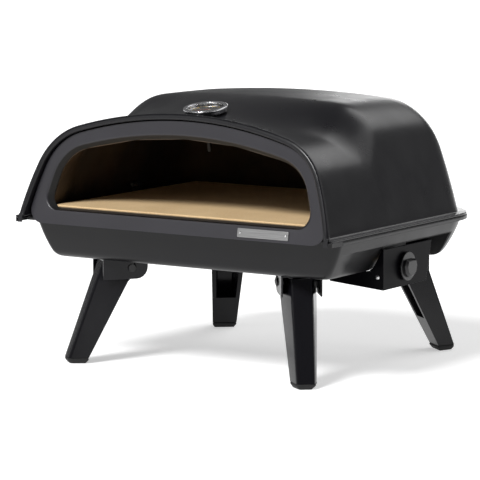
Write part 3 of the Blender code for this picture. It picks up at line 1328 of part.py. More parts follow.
def make_pin_mesh():
    reach = LEG_INNER_TOP_HALF + BRACKET_SIDE_GAP + BRACKET_SHEET
    head = reach + GAP
    top = head + PIN_HEAD
    profile = [(0, -top), (PIN_HEAD_RADIUS, -top), (PIN_HEAD_RADIUS, -head), (PIN_RADIUS, -head),
               (PIN_RADIUS, head), (PIN_HEAD_RADIUS, head), (PIN_HEAD_RADIUS, top), (0, top)]
    return closed_mesh("pivot_pin", turned(profile, SMALL_STEPS))


def make_bracket_rivet_mesh():
    top = TUB_SHEET + GAP
    low = -2 * GAP - BRACKET_SHEET
    profile = [(0, low - BRACKET_RIVET_HEIGHT), (BRACKET_RIVET_HEAD, low - BRACKET_RIVET_HEIGHT),
               (BRACKET_RIVET_HEAD, low), (BRACKET_RIVET_RADIUS, low), (BRACKET_RIVET_RADIUS, top),
               (BRACKET_RIVET_HEAD, top), (BRACKET_RIVET_HEAD, top + BRACKET_RIVET_HEIGHT),
               (0, top + BRACKET_RIVET_HEIGHT)]
    return closed_mesh("bracket_rivet", turned(profile, SMALL_STEPS))


def make_hood_screws(root):
    low = TUB_TOP - TUB_SHEET - GAP
    profile = [(0, low - HOOD_SCREW_HEAD_HEIGHT), (HOOD_SCREW_HEAD, low - HOOD_SCREW_HEAD_HEIGHT),
               (HOOD_SCREW_HEAD, low), (HOOD_SCREW_RADIUS, low), (HOOD_SCREW_RADIUS, FLANGE_TOP), (0, FLANGE_TOP)]
    mesh = closed_mesh("hood_screw", turned(profile, SMALL_STEPS))
    for name, (x, y) in hood_screw_places().items():
        place(f"hood_screw_{name}", mesh, STEEL, root, (x, y, 0))


def pad_back():
    """How far back the rear foot pads reach, from the middle of the four feet."""
    angle = math.radians(LEG_AZIMUTHS["back_right"])
    return PIVOT_Y + max(x * math.sin(angle) + y * math.cos(angle)
                         for x, y, _ in leg_section(LEG_FOOT_INNER, LEG_FOOT))


# The origin lies under the middle of the whole oven
KNOB_END = BOX_FACE + RUNNING_GAP + KNOB_TRAVEL + KNOB_SKIRT + KNOB_GRIP
FLANGE_END = HOOD_HALF_WIDTH + FLANGE_WIDTH
ORIGIN_X = (max(KNOB_END, FLANGE_END) - FLANGE_END) / 2
FRONT_END = strip_front(FLANGE_TOP - RIM_DROP) + RIM_FOOT_SET_IN
ORIGIN_Y = (FRONT_END + max(pad_back(), HOOD_BACK + FLANGE_WIDTH)) / 2

clear_scene()

HOOD_PAINT = material("hood_paint", (0.045, 0.045, 0.048), 0.42, 0.0)
TUB_PAINT = material("tub_paint", (0.032, 0.032, 0.034), 0.50, 0.0)
LEG_PAINT = material("leg_paint", (0.018, 0.018, 0.020), 0.30, 0.0)
BOX_PAINT = material("box_paint", (0.040, 0.040, 0.043), 0.45, 0.0)
KNOB_PLASTIC = material("knob_plastic", (0.020, 0.020, 0.021), 0.35, 0.0)
RUBBER = material("rubber", (0.012, 0.012, 0.012), 0.80, 0.0)
STONE = material("stone", (0.600, 0.420, 0.240), 0.90, 0.0)
STEEL = material("steel", (0.350, 0.340, 0.330), 0.35, 1.0)
BRIGHT_STEEL = material("bright_steel", (0.750, 0.750, 0.750), 0.25, 1.0)
DARK_STEEL = material("dark_steel", (0.020, 0.020, 0.022), 0.60, 0.0)
CHROME = material("chrome", (0.800, 0.800, 0.820), 0.08, 1.0)
BRASS = material("brass", (0.700, 0.500, 0.200), 0.30, 1.0)
CERAMIC = material("ceramic", (0.800, 0.780, 0.740), 0.40, 0.0)
DIAL = material("dial", (0.800, 0.790, 0.740), 0.50, 0.0)
POINTER = material("pointer", (0.300, 0.030, 0.020), 0.40, 0.0)
GLASS = material("glass", (0.900, 0.920, 0.920), 0.05, 0.0)

OVEN = empty("oven", (-ORIGIN_X, -ORIGIN_Y, 0))
make_hood(OVEN)
make_liner(OVEN)
make_front_panel(OVEN)
make_plate(OVEN)
make_tub(OVEN)
make_recess(OVEN)
make_shield(OVEN)
make_stone(OVEN)
make_rails(OVEN)
make_burner(OVEN)
make_valve(OVEN)
make_box(OVEN)
make_thermometer(OVEN)
make_legs(OVEN)
make_hood_screws(OVEN)
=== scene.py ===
"""Looks of the portable gas pizza oven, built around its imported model.

Sizes repeat those of the model, with more and rounder faces. Pieces are made in the oven's own
frame, which has its origin under the middle of the four feet, and then moved by SHIFT to where
the model stands. The oven faces -Y, +X is to its right and +Z is up. Lengths are in metres.
"""
import json
import math
from collections import namedtuple

import bmesh
import bpy
from mathutils import Matrix, Vector


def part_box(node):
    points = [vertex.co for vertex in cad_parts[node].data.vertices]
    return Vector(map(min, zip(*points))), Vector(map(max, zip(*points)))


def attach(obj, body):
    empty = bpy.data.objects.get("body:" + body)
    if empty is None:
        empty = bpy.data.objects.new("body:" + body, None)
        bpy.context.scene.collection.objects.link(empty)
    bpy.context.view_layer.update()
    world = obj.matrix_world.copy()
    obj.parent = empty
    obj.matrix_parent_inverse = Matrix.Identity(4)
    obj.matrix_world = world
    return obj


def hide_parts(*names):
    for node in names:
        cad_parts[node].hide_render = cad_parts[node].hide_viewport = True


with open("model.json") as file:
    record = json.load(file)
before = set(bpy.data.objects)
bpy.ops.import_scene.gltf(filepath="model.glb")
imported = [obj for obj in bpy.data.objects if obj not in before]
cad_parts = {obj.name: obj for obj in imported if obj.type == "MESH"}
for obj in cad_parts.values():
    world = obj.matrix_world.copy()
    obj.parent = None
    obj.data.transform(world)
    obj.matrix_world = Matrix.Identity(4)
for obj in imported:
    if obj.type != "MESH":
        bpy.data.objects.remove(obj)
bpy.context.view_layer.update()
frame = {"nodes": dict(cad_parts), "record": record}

Arch = namedtuple("Arch", "half_width height lean side shoulder crown")
Wall = namedtuple("Wall", "lean bow")
Dome = namedtuple("Dome", "foot front slope rim body peak back corner back_lean back_side back_shoulder "
                          "ridge start_share side_start_share steps")

# Sheets and clearances
GAP = 0.0003
HOOD_SHEET = 0.0015
PANEL_SHEET = 0.0015
TUB_SHEET = 0.0012
SHEET_ROUND_SHARE = 0.3

# Hood
FLANGE_TOP = 0.2130
FLANGE_WIDTH = 0.0125
FLANGE_LIP = 0.0028
HOOD_HALF_WIDTH = 0.2510
RIM_FRONT = -0.2408
RIM_SLOPE = 0.216
RIM_WIDTH = 0.0072
RIM_DROP = 0.0092
RIM_RETURN = 0.0030
RIM_FOOT_SET_IN = 0.0002
HOOD_RIM = Arch(half_width=HOOD_HALF_WIDTH, height=0.1472, lean=math.radians(12.2),
                side=0.4300, shoulder=0.0860, crown=0.6270)
HOOD_BODY = Arch(half_width=HOOD_HALF_WIDTH, height=0.1702, lean=math.radians(15.5),
                 side=1.0140, shoulder=0.0800, crown=1.7760)
HOOD_PEAK = -0.0305
HOOD_BACK = 0.1860
HOOD_CORNER = 0.0763
HOOD_STEPS = (8, 14, 12, 26, 8, 16)
SPINE_STEPS = (8, 48, 24)
FOOT_BEND = 0.0024
BEND_SHARE = 0.4
EDGE_BEND = 0.0013
RIM_BEND = 0.0022
BEND_STEPS = 4
DOME_FRONT = RIM_FRONT + HOOD_SHEET * (math.hypot(1, RIM_SLOPE) + RIM_SLOPE)
HOOD_DOME = Dome(foot=FLANGE_TOP, front=DOME_FRONT, slope=RIM_SLOPE, rim=HOOD_RIM, body=HOOD_BODY,
                 peak=HOOD_PEAK, back=HOOD_BACK, corner=HOOD_CORNER, back_lean=math.radians(10.9),
                 back_side=2.0800, back_shoulder=0.0600, ridge=4.6800, start_share=0.12,
                 side_start_share=0.85, steps=HOOD_STEPS)
SHOULDER_SHARE = 0.75
CROWN_SHARE = 0.35

# Front panel
PANEL_SET_BACK = 0.0123
PANEL_FRONT = RIM_FRONT + PANEL_SET_BACK
PANEL_SLOPE = 0.170
PANEL_FOOT = 0.2030
PANEL_CORNER = 0.0200
PANEL_TO_HOOD = 0.0016
MOUTH_SILL = 0.0197
MOUTH_FOOT = PANEL_FOOT + MOUTH_SILL
MOUTH = Arch(half_width=0.2260, height=0.1153, lean=math.radians(13.7), side=0.8790, shoulder=0.0630,
             crown=0.6590)
MOUTH_CORNER = 0.0200
MOUTH_LIP_IN = 0.0065
MOUTH_LIP_DEPTH = 0.0100
MOUTH_BEND = 0.0022
PANEL_STEPS = (10, 20, 24)
CORNER_STEPS = 10

# Tub
TUB_BRIM = 0.2087
TUB_BOTTOM = 0.1508
TUB_STEP = 0.0045
TUB_HALF_WIDTH = HOOD_HALF_WIDTH + TUB_STEP
TUB_FRONT = -0.2050
TUB_BACK = HOOD_BACK + TUB_STEP
TUB_SIDE_WALL = Wall(lean=math.radians(15.0), bow=0.1770)
TUB_FRONT_WALL = Wall(lean=math.radians(6.0), bow=0.6000)
TUB_BACK_WALL = Wall(lean=math.radians(7.0), bow=0.4000)
TUB_FILLET = 0.0140
TUB_FRONT_CORNER = 0.0090
TUB_BACK_CORNER = 0.0780
TUB_BRIM_WIDTH = FLANGE_WIDTH - TUB_STEP
TUB_BRIM_CORNER = 0.0020
TUB_BEND = 0.0012
TUB_LIP = 0.0052
WALL_STEPS = 8
FILLET_STEPS = 8
NOTCH_LEFT = 0.1960
NOTCH_FRONT = -0.0757
NOTCH_BACK = 0.1130
NOTCH_TOP = 0.1865
OVERRUN = 0.004

# Painted shade on the stone's edges: a darkening that starts below its top and is full further down
STONE_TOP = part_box("pizza_stone")[1].z
EDGE_SHADE_START = 0.0012
EDGE_SHADE_FULL = 0.0035

# Thermometer, above its seat on the hood
BEZEL_OUTER = 0.0315
BEZEL_INNER = 0.0255
BEZEL_LOW = 0.0065
BEZEL_TOP = 0.0097
BEZEL_ROUND_SHARE = 0.35
DIAL_THICKNESS = 0.0005
DIAL_TOP = 0.0043
DIAL_RADIUS = 0.0262
MARK_HEIGHT = 0.0001
BAND_TOP = DIAL_TOP + MARK_HEIGHT / 2
BAND_INNER_SHARE = 0.70
BAND_OUTER_SHARE = 0.80
BAND_INNER = BAND_INNER_SHARE * DIAL_RADIUS
BAND_OUTER = BAND_OUTER_SHARE * DIAL_RADIUS
GLASS_LOW = 0.0054
GLASS_HEIGHT = 0.0008
LATHE_STEPS = 96
DIAL_NUMBERS = (0, 100, 200, 300, 400, 500)
DIAL_START = math.radians(225)
DIAL_SWEEP = math.radians(270)

# Ticks and numbers, as shares of the dial's radius
Tick = namedtuple("Tick", "inner_share half_width_share")
MAIN_TICK = Tick(0.80, 0.016)
SMALL_TICK = Tick(0.86, 0.008)
TICK_OUTER_SHARE = 0.93
TICKS_PER_NUMBER = 5
NUMBER_SIZE_SHARE = 0.21
NUMBER_PLACE_SHARE = 0.63

# Knob, from its inner face along its axis
KNOB_RADIUS = 0.0204
KNOB_SKIRT = 0.0030
KNOB_GRIP_RADIUS = 0.0127
KNOB_GRIP = 0.0062
KNOB_FLAT = 0.0078
KNOB_ROUND = 0.0009
KNOB_FACETS = 7
KNOB_SPREAD = 1.24
KNOB_EDGE = KNOB_ROUND / 2
KNOB_EDGE_STEPS = 3

# Roll at the top of each leg, inside its two cheeks
LEG_HEAD_RADIUS = 0.0098
LEG_HEAD_LENGTH = 0.0500
LEG_HEAD_ROUND = 0.0006

# Corners that each have a leg, a bracket with its pin and rivet, and a hood screw
CORNERS = ("front_right", "back_right", "back_left", "front_left")

# Rounding of the pieces' edges
LEG_EDGE = 0.0010
BRACKET_EDGE = 0.0007
BOX_EDGE = 0.0006
STONE_EDGE = 0.0005
CASE_EDGE = 0.0004
THIN_EDGE = 0.0003
FINE_EDGE = 0.0001
WELD = 0.00002
FLAT_ANGLE = math.radians(0.5)
ROUND_ANGLE = math.radians(38)
SMOOTH_ANGLE = math.radians(50)

# A unit axis with more of X than this counts as lying along X
ALONG_X = 0.9

# Moves a piece so that the hood's flange ends at the back where the model's does
SHIFT = Vector((0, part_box("hood_shell")[1].y - HOOD_BACK - FLANGE_WIDTH, 0))

# Camera, as it stood for the photograph
CAMERA_YAW = math.radians(33.0)
CAMERA_PITCH = math.radians(7.55)
CAMERA_DISTANCE = 4.360
CAMERA_TARGET = Vector((-0.0382, 0.0008, 0.1663)) + SHIFT
CAMERA_LENS = 225.0
SENSOR_WIDTH = 36.0

# Coats: noise scales are per metre, and depths are in metres
NOISE_LOW = 0.3
NOISE_HIGH = 0.7
COAT_DRIFT_SCALE = 9.0
COAT_GLOSS_SCALE = 30.0
COAT_GRAIN_SCALE = 900.0
COAT_GRAIN_DEPTH = 0.00006
COAT_DARK_SHARE = 0.90
COAT_LIGHT_SHARE = 1.12
COAT_ROUGHNESS_DRIFT = 0.03
COAT_BUMP = 0.5
HOOD_GRAIN_DEPTH = 0.00001
LEG_GRAIN_SCALE = 500.0
LEG_GRAIN_DEPTH = 0.00002
MOULDED_GRAIN_SCALE = 1500.0
MOULDED_GRAIN_DEPTH = 0.0001

# Brushed metals, and how their lines are packed along X, Y and Z
BRUSH_SCALE = 400.0
BRUSH_DARK_SHARE = 0.75
BRUSH_SMOOTHER = 0.06
BRUSH_ROUGHER = 0.08
BRUSH_BUMP = 0.3
BRUSH_DEPTH = 0.00005
LINES = (1, 12, 12)
LONG_LINES = (0.08, 3, 3)
EVEN_LINES = (3, 3, 3)
WIDE_LINES = (1, 1, 1)
RING_LINES = (3, 3, 12)

# Liner and stone
# Liner colours; the brown is partly heat tint and partly the stone's warm reflection, painted in
LINER_DARK = (0.055, 0.044, 0.034)
LINER_HEAT_AND_REFLECTION_BROWN = (0.130, 0.086, 0.052)
LINER_ROUGHNESSES = (0.38, 0.58)
STONE_DARK = (0.72, 0.505, 0.265)
STONE_LIGHT = (0.82, 0.590, 0.325)
DARK_SPECKLE = (0.46, 0.310, 0.180)
DARK_SPECKLE_SHARES = (0.60, 0.72)
LIGHT_SPECKLE = (0.88, 0.72, 0.54)
LIGHT_SPECKLE_SHARES = (0.62, 0.74)
PAINTED_EDGE_SHADE = (0.030, 0.022, 0.016)

# Sockets of a Mix node that mixes colours
MIX_FIRST = 6
MIX_SECOND = 7
MIX_RESULT = 2

# Studio
FLOOR_SIZE = 400.0
FLOOR_COLOUR = (0.85, 0.85, 0.85)
FLOOR_ROUGHNESS = 0.9
WORLD_FILL = 0.17
FLOOR_GLOW = 0.47
Lamp = namedtuple("Lamp", "name place angle strength")
LAMPS = (
    Lamp("front_light", (-0.10, -1.0, 0.98), math.radians(18), 2.80),
    Lamp("left_light", (-0.60, -1.0, 0.42), math.radians(34), 0.28),
    Lamp("back_light", (0.15, 1.0, 0.90), math.radians(36), 0.60),
    Lamp("low_back_light", (-0.40, 1.0, 0.13), math.radians(18), 0.26),
    Lamp("right_light", (1.0, 0.60, 0.70), math.radians(50), 0.50),
)


# Arches and domes

def arc(centre_x, centre_y, radius, start, end, steps):
    """Points on an arc, both ends included; angles in radians."""
    angles = [start + (end - start) * k / steps for k in range(steps + 1)]
    return [(centre_x + radius * math.cos(a), centre_y + radius * math.sin(a)) for a in angles]


def arch_half(arch, steps, corner=0):
    """Points (across, up) of an arch to its top, from its right foot or the middle of its level foot."""
    side_steps, shoulder_steps, crown_steps = steps[:3]
    side = arch.side
    shoulder = min(arch.shoulder, SHOULDER_SHARE * arch.height)
    crown = max(arch.crown, arch.half_width ** 2 / (2 * CROWN_SHARE * arch.height))
    side_centre = Vector((arch.half_width - side * math.cos(arch.lean), -side * math.sin(arch.lean)))
    crown_centre = Vector((0, arch.height - crown))
    apart = crown_centre - side_centre
    to_shoulder = side - shoulder
    turn = to_shoulder ** 2 + apart.length_squared - (crown - shoulder) ** 2
    top = math.atan2(apart.y, apart.x) + math.acos(turn / (2 * to_shoulder * apart.length))
    centre = side_centre + to_shoulder * Vector((math.cos(top), math.sin(top)))
    meeting = math.atan2(centre.y - crown_centre.y, centre.x)
    start = arch.lean
    points = []
    if corner:
        start = math.asin((corner - side_centre.y) / (side - corner))
        corner_x = side_centre.x + (side - corner) * math.cos(start)
        points = [(0, 0)] + arc(corner_x, corner, corner, -math.pi / 2, start, CORNER_STEPS)[:-1]
    points += arc(side_centre.x, side_centre.y, side, start, top, side_steps)[:-1]
    points += arc(centre.x, centre.y, shoulder, top, meeting, shoulder_steps)
    points += arc(0, crown_centre.y, crown, meeting, math.pi / 2, crown_steps)[1:]
    return points


def inset_arch(arch, inward, lower=0):
    """The arch that runs inside another at an even distance, with its foot lower down."""
    side = arch.side - inward
    lean = math.asin((arch.side * math.sin(arch.lean) - lower) / side)
    half_width = arch.half_width - arch.side * math.cos(arch.lean) + side * math.cos(lean)
    height = arch.height - inward + lower
    return Arch(half_width, height, lean, side, arch.shoulder - inward, arch.crown - inward)


def mirrored(half):
    return half + [(-x, *rest) for x, *rest in half[-2::-1]]


def closed_arch(arch, corner):
    return mirrored(arch_half(arch, PANEL_STEPS, corner))[:-1]


def rise_share(dome, across, way):
    start = dome.start_share + (dome.side_start_share - dome.start_share) * across ** 2
    t = min(max((way - start) / (1 - start), 0), 1)
    return t * t * (3 - 2 * t)


def dome_half_width(dome, y):
    into_corner = y - (dome.back - dome.corner)
    if into_corner <= 0:
        return dome.body.half_width
    drawn_in = math.sqrt(max(dome.corner ** 2 - into_corner ** 2, 0))
    return dome.body.half_width - dome.corner + drawn_in


def height_at(half_arch, across):
    for (outer, low), (inner, high) in zip(half_arch, half_arch[1:]):
        if inner <= across <= outer:
            return low + (high - low) * (outer - across) / (outer - inner)
    return half_arch[-1][1]


def rear_places(dome):
    *_, middle_steps, corner_steps = dome.steps
    start = dome.back - dome.corner
    places = [dome.peak + (start - dome.peak) * k / middle_steps for k in range(1, middle_steps)]
    turns = [math.pi / 2 * k / corner_steps for k in range(corner_steps)]
    return places + [start + dome.corner * math.sin(turn) for turn in turns]


def dome_rows(dome):
    """Rows of points over the dome, from its front arch to its back foot."""
    rows = []
    front_steps = dome.steps[3]
    rim = arch_half(dome.rim, dome.steps)
    body = arch_half(dome.body, dome.steps)
    for k in range(front_steps + 1):
        way = k / front_steps
        half = []
        for (rim_x, rim_up), (body_x, body_up) in zip(rim, body):
            risen = rise_share(dome, rim_x / dome.rim.half_width, way)
            start = dome.front + dome.slope * rim_up
            half.append((rim_x + (body_x - rim_x) * risen, start + (dome.peak - start) * way,
                         dome.foot + rim_up + (body_up - rim_up) * risen))
        rows.append(mirrored(half))
    spine = Arch(dome.back - dome.peak, dome.body.height, dome.back_lean, dome.back_side,
                 dome.back_shoulder, dome.ridge)
    profile = arch_half(spine, SPINE_STEPS)
    for y in rear_places(dome):
        height = height_at(profile, y - dome.peak)
        arch = dome.body._replace(half_width=dome_half_width(dome, y), height=height)
        rows.append([(x, y, dome.foot + up) for x, up in mirrored(arch_half(arch, dome.steps))])
    last_width = dome_half_width(dome, dome.back)
    widest = rows[-1][0][0]
    rows.append([(x * last_width / widest, dome.back, dome.foot) for x, _, _ in rows[-1]])
    return [[Vector(point) for point in row] for row in rows]


def bend(start, corner, end):
    """Points of a round bend that leaves one line and joins another."""
    points = []
    for k in range(BEND_STEPS + 1):
        t = k / BEND_STEPS
        points.append(start * (1 - t) ** 2 + corner * (2 * t * (1 - t)) + end * t ** 2)
    return points


# Making pieces

def strip(bm, first, second):
    for i in range(len(first) - 1):
        bm.faces.new((first[i], first[i + 1], second[i + 1], second[i]))


def loft(loops, cap=True):
    bm = bmesh.new()
    rings = [[bm.verts.new(point) for point in loop] for loop in loops]
    for ring, following in zip(rings, rings[1:]):
        strip(bm, ring + ring[:1], following + following[:1])
    if cap:
        bm.faces.new(rings[0][::-1])
        bm.faces.new(rings[-1])
    return bm


def lathe(profile, closed=False):
    """A solid turned about Z from (radius, height) points; a closed profile stays clear of the axis."""
    bm = bmesh.new()
    angles = [2 * math.pi * k / LATHE_STEPS for k in range(LATHE_STEPS)]
    rings = []
    for radius, height in profile:
        if radius == 0:
            rings.append([bm.verts.new((0, 0, height))] * LATHE_STEPS)
        else:
            rings.append([bm.verts.new((radius * math.cos(a), radius * math.sin(a), height)) for a in angles])
    pairs = list(zip(rings, rings[1:]))
    if closed:
        pairs.append((rings[-1], rings[0]))
    for ring, following in pairs:
        for k in range(LATHE_STEPS):
            n = (k + 1) % LATHE_STEPS
            corners = dict.fromkeys((ring[k], ring[n], following[n], following[k]))
            bm.faces.new(list(corners))
    return bm


def mesh_from(name, bm, inside=None):
    """A smooth mesh with its faces pointing out, or away from a point where the surface is open."""
    bmesh.ops.recalc_face_normals(bm, faces=bm.faces)
    bm.normal_update()
    if inside is not None:
        outward = sum(face.normal.dot(face.calc_center_median() - Vector(inside)) * face.calc_area()
                      for face in bm.faces)
        if outward < 0:
            bmesh.ops.reverse_faces(bm, faces=bm.faces)
    mesh = bpy.data.meshes.new(name)
    bm.to_mesh(mesh)
    bm.free()
    mesh.shade_smooth()
    mesh.set_sharp_from_angle(angle=SMOOTH_ANGLE)
    return mesh


def add_object(name, mesh):
    obj = bpy.data.objects.new(name, mesh)
    bpy.context.scene.collection.objects.link(obj)
    return obj


def thicken(obj, thickness):
    solid = obj.modifiers.new("thickness", "SOLIDIFY")
    solid.thickness = thickness
    solid.offset = -1


def round_edges(obj, width, segments=2):
    rounding = obj.modifiers.new("rounding", "BEVEL")
    rounding.limit_method = "ANGLE"
    rounding.angle_limit = ROUND_ANGLE
    rounding.width = width
    rounding.segments = segments
    rounding.use_clamp_overlap = True


def weigh_normals(obj):
    normals = obj.modifiers.new("normals", "WEIGHTED_NORMAL")
    normals.keep_sharp = True


def settle(obj):
    """Applies the object's modifiers to its mesh."""
    bpy.context.view_layer.update()
    graph = bpy.context.evaluated_depsgraph_get()
    mesh = bpy.data.meshes.new_from_object(obj.evaluated_get(graph))
    obj.modifiers.clear()
    obj.data = mesh


def dress(obj, mat, nodes, body="oven"):
    """Gives a piece its material and its body; it stands for the nodes named."""
    indices = [polygon.material_index for polygon in obj.data.polygons]
    obj.data.materials.clear()
    obj.data.materials.append(mat)
    obj.data.polygons.foreach_set("material_index", indices)
    if nodes:
        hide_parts(*nodes)
    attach(obj, body)
    return obj


def refined(node, width, mat, body="oven"):
    """A copy of a node's solid with its flat faces joined and its edges rounded."""
    bm = bmesh.new()
    bm.from_mesh(frame["nodes"][node].data)
    for face in bm.faces:
        face.material_index = 0
    bmesh.ops.remove_doubles(bm, verts=bm.verts, dist=WELD)
    bmesh.ops.dissolve_limit(bm, angle_limit=FLAT_ANGLE, verts=bm.verts, edges=bm.edges)
    obj = add_object(f"{node}_finish", mesh_from(f"{node}_finish", bm))
    round_edges(obj, width)
    weigh_normals(obj)
    return dress(obj, mat, [node], body)


# Hood

def mirror_x(vector):
    return Vector((-vector.x, vector.y, vector.z))


def flange_loops(rows):
    """Loops from the hood's foot out over its flange and down its lip, from the front right round."""
    places = []
    for row in rows[:-1]:
        foot, rising = row[0], row[1] - row[0]
        turn = math.asin(min(max((foot.y - HOOD_BACK + HOOD_CORNER) / HOOD_CORNER, 0), 1))
        out = Vector((math.cos(turn), math.sin(turn), 0))
        places.append((foot, rising.normalized(), rising.length, out))
    side = places[::-1]
    for last, above in zip(rows[-1], rows[-2]):
        rising = above - last
        places.append((last, rising.normalized(), rising.length, Vector((0, 1, 0))))
    places += [(mirror_x(foot), mirror_x(up), room, mirror_x(out)) for foot, up, room, out in side]
    loops = []
    for k, (foot, up, room, out) in enumerate(places):
        size = min(FOOT_BEND, BEND_SHARE * room) if 1 < k < len(places) - 2 else GAP
        edge = foot + out * FLANGE_WIDTH
        points = bend(foot + up * size, foot, foot + out * size)
        points += bend(edge - out * EDGE_BEND, edge, edge - Vector((0, 0, EDGE_BEND)))
        points.append(edge - Vector((0, 0, FLANGE_LIP)))
        loops.append(points)
    return loops


def rim_points(row, following, i):
    """Points from the dome's front edge out over its front strip to the strip's turned edge."""
    before, vertex, after = row[max(i - 1, 0)], row[i], row[min(i + 1, len(row) - 1)]
    along = after - before
    outward = Vector((along.z, 0, -along.x)).normalized()
    if i in (0, len(row) - 1):
        outward = Vector((math.copysign(1, vertex.x), 0, 0))
    inward = (following[i] - vertex).normalized()

    def on_strip(amount):
        point = vertex + outward * amount
        point.y = HOOD_DOME.front + RIM_SLOPE * (point.z - FLANGE_TOP)
        return point

    outer = RIM_WIDTH - HOOD_SHEET
    edge = on_strip(outer)
    points = bend(vertex + inward * RIM_BEND, on_strip(0), on_strip(RIM_BEND))
    points += bend(on_strip(outer - RIM_BEND), edge, edge + Vector((0, RIM_BEND, 0)))
    points.append(edge + Vector((0, RIM_RETURN, 0)))
    return points


def make_hood(mat):
    rows = dome_rows(HOOD_DOME)
    loops = flange_loops(rows)
    rims = [rim_points(rows[0], rows[1], i) for i in range(len(rows[0]))]
    bm = bmesh.new()
    grid = [[bm.verts.new(point) for point in row] for row in rows]
    for i, points in enumerate(rims[1:-1], 1):
        grid[0][i].co = points[0]
    feet = [row[0] for row in grid[:-1]] + grid[-1] + [row[-1] for row in grid[-2::-1]]
    for vertex, points in zip(feet, loops):
        vertex.co = points[0]
    for row, following in zip(grid, grid[1:]):
        strip(bm, row, following)
    columns = [feet] + [[bm.verts.new(points[k]) for points in loops] for k in range(1, len(loops[0]))]
    for first, second in zip(columns, columns[1:]):
        strip(bm, first, second)
    columns = [grid[0]] + [[bm.verts.new(points[k]) for points in rims] for k in range(1, len(rims[0]))]
    for first, second in zip(columns, columns[1:]):
        strip(bm, first, second)
    for vertex in bm.verts:
        vertex.co += SHIFT
    hood = add_object("hood_pressing", mesh_from("hood_pressing", bm, SHIFT + Vector((0, 0, FLANGE_TOP))))
    thicken(hood, HOOD_SHEET)
    round_edges(hood, SHEET_ROUND_SHARE * HOOD_SHEET)
    dress(hood, mat, ["hood_shell"])
    make_rim_feet(mat)


def make_rim_feet(mat):
    """The strip's two feet run down past the flange, ahead of the tub's brim."""
    thickness = HOOD_SHEET * math.hypot(1, RIM_SLOPE)
    bm = bmesh.new()
    for sign in (1, -1):
        loops = []
        for z in (FLANGE_TOP - RIM_DROP, FLANGE_TOP + RIM_RETURN):
            back = DOME_FRONT + RIM_SLOPE * (z - FLANGE_TOP)
            front = RIM_FOOT_SET_IN - thickness
            corners = ((0, front), (RIM_WIDTH, front), (RIM_WIDTH, 0), (0, 0))
            lean = 0 if z < FLANGE_TOP else -math.sin(HOOD_RIM.lean) * RIM_RETURN
            loops.append([bm.verts.new(Vector((sign * (HOOD_HALF_WIDTH + lean + x), back + y, z)) + SHIFT)
                          for x, y in corners])
        low, high = loops
        strip(bm, low + low[:1], high + high[:1])
        bm.faces.new(low[::-1])
        bm.faces.new(high)
    feet = add_object("front_strip_feet", mesh_from("front_strip_feet", bm))
    round_edges(feet, SHEET_ROUND_SHARE * HOOD_SHEET)
    dress(feet, mat, [])


# Front panel

def panel_y(z):
    return PANEL_FRONT + PANEL_SLOPE * (z - FLANGE_TOP)


def mouth_ring(out, back):
    """A ring round the mouth, so far outside or inside its edge and so far behind the panel's face."""
    if out > 0:
        return inset_arch(MOUTH, -out, out), MOUTH_FOOT - out, MOUTH_CORNER + out, back
    return inset_arch(MOUTH, -out), MOUTH_FOOT, MOUTH_CORNER, back


def make_panel(mat, lip_shade_mat):
    """The recessed front frame; its lip round the mouth takes a near-black coat as painted shade."""
    outline = inset_arch(HOOD_RIM, HOOD_SHEET + PANEL_TO_HOOD, FLANGE_TOP - PANEL_FOOT)
    slant = math.hypot(MOUTH_LIP_IN, MOUTH_LIP_DEPTH)
    inner = Vector((-MOUTH_LIP_IN, MOUTH_LIP_DEPTH)) / slant
    sheet = PANEL_SHEET
    wide = MOUTH_BEND + sheet
    levels = [(outline, PANEL_FOOT, PANEL_CORNER, 0)]
    levels += [mouth_ring(*p) for p in bend(Vector((MOUTH_BEND, 0)), Vector((0, 0)), inner * MOUTH_BEND)]
    levels.append(mouth_ring(-MOUTH_LIP_IN, MOUTH_LIP_DEPTH))
    levels.append(mouth_ring(sheet - MOUTH_LIP_IN, MOUTH_LIP_DEPTH))
    behind = bend(inner * wide, Vector((0, 0)), Vector((wide, 0)))
    levels += [mouth_ring(p.x + sheet, p.y + sheet) for p in behind]
    levels.append((outline, PANEL_FOOT, PANEL_CORNER, sheet))
    bm = bmesh.new()
    rings = []
    for arch, foot, corner, back in levels:
        rings.append([bm.verts.new(Vector((x, panel_y(foot + up) + back, foot + up)) + SHIFT)
                      for x, up in closed_arch(arch, corner)])
    for ring, following in zip(rings, rings[1:] + rings[:1]):
        strip(bm, ring + ring[:1], following + following[:1])
    # The lip's faces take the second, near-black coat: painted shade
    lip_start = BEND_STEPS + 1
    bm.faces.ensure_lookup_table()
    for face in bm.faces[lip_start * len(rings[0]):-len(rings[0])]:
        face.material_index = 1
    panel = add_object("front_frame", mesh_from("front_frame", bm))
    round_edges(panel, SHEET_ROUND_SHARE * PANEL_SHEET)
    dress(panel, mat, ["front_panel"])
    panel.data.materials.append(lip_shade_mat)
    half = outline.half_width - 2 * PANEL_CORNER
    low = Vector((-half, panel_y(PANEL_FOOT) + sheet / 2, PANEL_FOOT)) + SHIFT
    high = Vector((half, TUB_FRONT - TUB_BRIM_WIDTH - GAP, PANEL_FOOT + sheet)) + SHIFT
    ledge = add_object("front_frame_ledge", mesh_from("front_frame_ledge", block(low, high)))
    dress(ledge, mat, [])


def block(low, high):
    outline = [(low.x, low.y), (high.x, low.y), (high.x, high.y), (low.x, high.y)]
    return loft([[(x, y, z) for x, y in outline] for z in (low.z, high.z)])


# Tub

